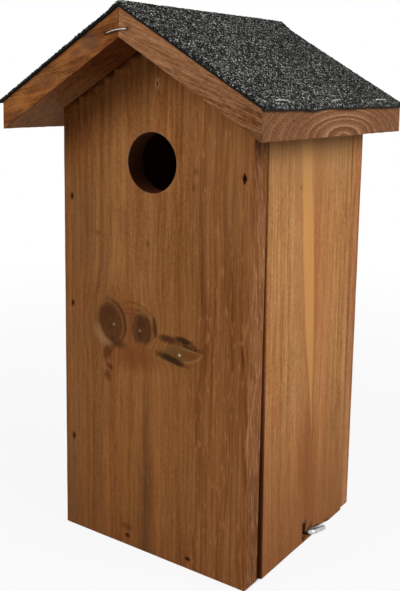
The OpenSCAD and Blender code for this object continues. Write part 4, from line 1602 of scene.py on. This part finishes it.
def staple(name, material, crown, legs, wire, bow):
    """A staple from the ends of its crown and the points of its legs. bow is how its middle stands out."""
    path = rounded_path([legs[0], crown[0], crown[1], legs[1]], STAPLE_BEND)
    points = stepped(path, MM)
    span = crown[1] - crown[0]
    for point in points:
        t = min(1.0, max(0.0, (point - crown[0]).dot(span) / span.length_squared))
        point += bow * (4 * t * (1 - t))
    bm = bmesh.new()
    wide, high = STAPLE_FLAT
    swept(bm, points, lambda i: [(u * wide, v * high) for u, v in round_section(wire, 10)])
    bmesh.ops.recalc_face_normals(bm, faces=bm.faces)
    made = new_object(name, bm, material)
    made.data.shade_smooth()
    return made


def ridge_crown(node):
    """The two ends of the crown of a staple across the ridge."""
    low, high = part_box(node)
    half = Vector((RIDGE_HALF, 0, 0))
    half.rotate(Matrix.Rotation(RIDGE_LEAN, 3, "Y"))
    return [(low + high) / 2 + half * s for s in (-1, 1)]


class NESTBOX_OT_staples(bpy.types.Operator):
    """Makes the staples across the ridge and those that hold the felt"""

    bl_idname = "nestbox.staples"
    bl_label = "Staples"
    bl_options = {"REGISTER", "UNDO"}

    # The length of a ridge staple's legs and of a felt staple's, and half the crown of a felt staple
    RIDGE_LEG, FELT_LEG, FELT_HALF = 12 * MM, 9 * MM, 6.4 * MM
    # How many degrees each felt staple leans, and how many millimetres its two ends stand off the felt
    FELT_SET = ((8, 0.5, 0.9), (-4, 0.7, 0.6), (11, 0.2, 1.2))

    def execute(self, context):
        metal = context.scene.nestbox_metal
        steel = wire_metal("Staple steel", metal.staple, 2.0, 0.3, 0.55)
        for end, node in ((-1, "front_ridge_staple"), (1, "back_ridge_staple")):
            low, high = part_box(node)
            out = Vector((0, end, 0))
            face = low.y + 0.8 * MM if end < 0 else high.y - 0.8 * MM
            crown = [Vector((p.x, face, p.z)) + out * 0.35 * MM for p in ridge_crown(node)]
            legs = [c - out * self.RIDGE_LEG for c in crown]
            bow = out * 0.5 * MM + Vector((0, 0, 0.9 * MM))
            piece = staple(f"{node}_wire", steel, crown, legs, metal.wire, bow)
            stand_for(piece, "box", "staple_steel", node)
        for side, node in ((1, "right_felt_staples"), (-1, "left_felt_staples")):
            off, down = OFF_SLOPE[side], DOWN_SLOPE[side]
            middles = loose_middles(node)
            for number, (middle, (lean, near, far)) in enumerate(zip(middles, self.FELT_SET), start=1):
                along = (Y + down * math.tan(math.radians(lean))).normalized() * self.FELT_HALF
                base = middle + off * (SLOPE_TOP + 3 * MM - middle.dot(off))
                crown = [base - along + off * near * MM, base + along + off * far * MM]
                legs = [c - off * self.FELT_LEG for c in crown]
                piece = staple(f"{node[:-1]}_{number}", steel, crown, legs, metal.wire, off * 0.3 * MM)
                stand_for(piece, "box", "staple_steel", node)
        return {"FINISHED"}


class NESTBOX_OT_nails(bpy.types.Operator):
    """Finishes the brads that hold the boards and the nails that the door turns on"""

    bl_idname = "nestbox.nails"
    bl_label = "Brads and Pivot Nails"
    bl_options = {"REGISTER", "UNDO"}

    def execute(self, context):
        metal = context.scene.nestbox_metal
        steel = wire_metal("Brad steel", metal.brad, 5.0, 0.45, 0.6)
        for name, node in frame["nodes"].items():
            if name.endswith(("_brads", "_brad", "_nail")):
                node.data.materials.clear()
                node.data.materials.append(steel)
        return {"FINISHED"}


class NESTBOX_OT_catch(bpy.types.Operator):
    """Makes the zinc-plated screw hook that holds the door shut"""

    bl_idname = "nestbox.catch"
    bl_label = "Catch Hook"
    bl_options = {"REGISTER", "UNDO"}

    # The corner's radius, the thread's pitch, the length of its point, and the corners of a section
    BEND, THREAD, POINT, SIDES = 4 * MM, 1.7 * MM, 5 * MM, 20
    # How far apart the sections are, and how far inside the floor the thread ends
    STEP, PLAIN = 0.3 * MM, 3 * MM
    # Shares of the wire's radius: the plain shank, the thread's root, its ridge above that, and its tip
    SHANK, ROOT, RIDGE, TIP = 0.985, 0.72, 0.26, 0.15
    # Where the sections of the rounded end are, in radii from the last straight one
    ROUNDED = (0.35, 0.65, 0.85, 0.96)

    def execute(self, context):
        metal = context.scene.nestbox_metal
        low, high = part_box("catch_hook")
        pivot = Vector(CATCH["pos_m"])
        radius = pivot.y - low.y
        arm = Vector((0, high.y - radius - pivot.y, low.z + radius - pivot.z))
        start = Vector((low.x, pivot.y, pivot.z))
        corner = Vector((high.x - radius, pivot.y, pivot.z))
        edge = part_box("floor_board")[1].x
        points = stepped(rounded_path([start, corner, corner + arm], self.BEND, 12), self.STEP)
        tip = points[-1]
        points += [tip + arm.normalized() * radius * t for t in self.ROUNDED]

        def section(i):
            """A threaded section inside the floor, and a plain one outside, rounded off at the tip."""
            point = points[i]
            if point.x >= edge - self.PLAIN:
                beyond = max(0.0, (point - tip).dot(arm.normalized()) / radius)
                size = radius * math.sqrt(max(0.02, 1 - beyond * beyond))
                return round_section(size * self.SHANK, self.SIDES)
            depth = point.x - start.x
            narrow = min(1.0, self.TIP + depth / self.POINT)
            corners = []
            for k, (u, v) in enumerate(round_section(radius * narrow, self.SIDES)):
                ridge = max(0.0, math.cos(math.tau * (depth / self.THREAD - k / self.SIDES))) ** 4
                share = self.ROOT + self.RIDGE * ridge
                corners.append((u * share, v * share))
            return corners

        bm = bmesh.new()
        swept(bm, points, section)
        bmesh.ops.recalc_face_normals(bm, faces=bm.faces)
        piece = new_object("zinc_catch_hook", bm, wire_metal("Zinc plate", metal.zinc, 8.0, 0.22, 0.62))
        piece.data.shade_smooth()
        stand_for(piece, "catch", "zinc_hook", "catch_hook")
        return {"FINISHED"}


# ---------- stage ----------


class NESTBOX_OT_stage(bpy.types.Operator):
    """Makes the floor, the lamps and the camera"""

    bl_idname = "nestbox.stage"
    bl_label = "Stage"
    bl_options = {"REGISTER", "UNDO"}

    # Where the camera stands and looks, how it leans, its lens in millimetres and how its view is shifted
    EYE = Vector((0.388, -0.56975, 0.362))
    TARGET = Vector((-0.01585, 0.00225, 0.2515))
    ROLL = math.radians(0.8)
    LENS, SHIFT = 52.54, (0.01328, -0.12047)
    # The floor's height and half size, and between which places its white ends beneath the box
    FLOOR_Z, FLOOR_HALF = -0.4 * MM, 6.0
    SHADE_X, SHADE_Y = (86 * MM, 89 * MM), (69 * MM, 72 * MM)
    # What the lamps are turned to
    CENTRE = Vector((0, 0, 0.2))
    # Each lamp's name, direction, distance, width and share of the key's power
    LAMPS = (
        ("Key lamp", (1.0, 0.12, 0.55), 1.5, 0.9, 1.0),
        ("Front lamp", (-0.5, -1.0, 0.8), 1.7, 1.1, 0.8),
    )

    def execute(self, context):
        scene = context.scene
        stage = scene.nestbox_stage
        self.floor(stage)
        self.lamps(scene, stage)
        self.camera(scene)
        scene.view_settings.view_transform = "Standard"
        return {"FINISHED"}

    def floor(self, stage):
        """A floor just below the box, which the camera sees as near white, apart from beneath the box."""
        bm = bmesh.new()
        bmesh.ops.create_grid(bm, x_segments=24, y_segments=24, size=self.FLOOR_HALF)
        for v in bm.verts:
            v.co.z = self.FLOOR_Z
        material, b, shader = new_material("Studio floor")
        shader.inputs["Roughness"].default_value = 0.9
        shader.inputs["Specular IOR Level"].default_value = 0.0
        place = object_place(b)
        cloud = b.noise(place * 3, 2.0)
        feed(shader.inputs["Base Color"], b.mix(cloud * 0.3, stage.floor, srgb(208, 208, 208)))
        reach = b.maths("LENGTH", place)
        x, y = b.maths("ABSOLUTE", place.part(0)), b.maths("ABSOLUTE", place.part(1))
        beneath = (1 - x.rise(*self.SHADE_X)) * (1 - y.rise(*self.SHADE_Y))
        seen = self.seen_share(b)
        glow = b.node("Emission", {"Color": (1, 1, 1), "Strength": 1.0})
        joined = b.node("MixShader")
        feed(joined.inputs[0], seen * (0.9 + reach.rise(0.3, 1.2) * 0.1) * (1 - beneath))
        for key, made in ((1, shader), (2, glow)):
            b.tree.links.new(made.outputs[0], joined.inputs[key])
        output = next(n for n in b.tree.nodes if n.type == "OUTPUT_MATERIAL")
        b.tree.links.new(joined.outputs[0], output.inputs["Surface"])
        piece = new_object("studio_floor", bm, material)
        piece.data.shade_smooth()

    def seen_share(self, b):
        """1 for what the camera sees, directly or in metal."""
        path = b.node("LightPath")
        rays = [Term(b, path.outputs[f"Is {kind} Ray"]) for kind in ("Camera", "Glossy", "Transmission")]
        return b.maths("MAXIMUM", b.maths("MAXIMUM", rays[0], rays[1]), rays[2])

    def lamps(self, scene, stage):
        """Soft light from all round and two large lamps. The camera sees white all round."""
        world = bpy.data.worlds.new("Studio")
        scene.world = world
        world.use_nodes = True
        b = Bench(world.node_tree)
        back = next(n for n in world.node_tree.nodes if n.type == "BACKGROUND")
        feed(back.inputs["Strength"], self.seen_share(b) * (1 - stage.fill) + stage.fill)
        back.inputs["Color"].default_value = (1, 1, 1, 1)
        for name, way, away, size, share in self.LAMPS:
            lamp = bpy.data.lights.new(name, "AREA")
            lamp.shape, lamp.size, lamp.energy = "DISK", size, stage.key * share
            holder = bpy.data.objects.new(name, lamp)
            direction = Vector(way).normalized()
            holder.location = self.CENTRE + direction * away
            holder.rotation_euler = direction.to_track_quat("Z", "Y").to_euler()
            scene.collection.objects.link(holder)

    def camera(self, scene):
        """The camera, level but for its roll."""
        camera = bpy.data.cameras.new("Camera")
        camera.sensor_width, camera.lens = 36, self.LENS
        camera.shift_x, camera.shift_y = self.SHIFT
        camera.clip_start, camera.clip_end = 0.02, 20
        holder = bpy.data.objects.new("Camera", camera)
        ahead = (self.TARGET - self.EYE).normalized()
        right = ahead.cross(Z).normalized()
        up = right.cross(ahead)
        turned_right = right * math.cos(self.ROLL) + up * math.sin(self.ROLL)
        turned_up = up * math.cos(self.ROLL) - right * math.sin(self.ROLL)
        turn = Matrix((turned_right, turned_up, -ahead)).transposed().to_4x4()
        holder.matrix_world = Matrix.Translation(self.EYE) @ turn
        scene.collection.objects.link(holder)
        scene.camera = holder


class NESTBOX_PT_makers(bpy.types.Panel):
    """Lists the makers of the nest box's pieces"""

    bl_label = "Nest Box"
    bl_idname = "NESTBOX_PT_makers"
    bl_space_type = "VIEW_3D"
    bl_region_type = "UI"
    bl_category = "Nest Box"

    def draw(self, context):
        for maker in MAKERS:
            self.layout.operator(maker.bl_idname)
        for group in SETTINGS:
            box = self.layout.box()
            settings = getattr(context.scene, group)
            for name in settings.__annotations__:
                box.prop(settings, name)


SETTINGS = {
    "nestbox_wood": NestBoxWood,
    "nestbox_felt": NestBoxFelt,
    "nestbox_metal": NestBoxMetal,
    "nestbox_stage": NestBoxStage,
}
MAKERS = (
    NESTBOX_OT_front_board,
    NESTBOX_OT_back_board,
    NESTBOX_OT_fixed_side,
    NESTBOX_OT_side_door,
    NESTBOX_OT_floor,
    NESTBOX_OT_roof_boards,
    NESTBOX_OT_felt,
    NESTBOX_OT_staples,
    NESTBOX_OT_nails,
    NESTBOX_OT_catch,
    NESTBOX_OT_stage,
)
CLASSES = (*SETTINGS.values(), *MAKERS, NESTBOX_PT_makers)


def register():
    for made in CLASSES:
        bpy.utils.register_class(made)
    for name, group in SETTINGS.items():
        setattr(bpy.types.Scene, name, PointerProperty(type=group))


def unregister():
    for name in SETTINGS:
        delattr(bpy.types.Scene, name)
    for made in reversed(CLASSES):
        bpy.utils.unregister_class(made)


def main():
    """Makes everything round the frame."""
    register()
    for maker in MAKERS:
        group, name = maker.bl_idname.split(".")
        getattr(getattr(bpy.ops, group), name)()


if __name__ == "__main__":
    main()
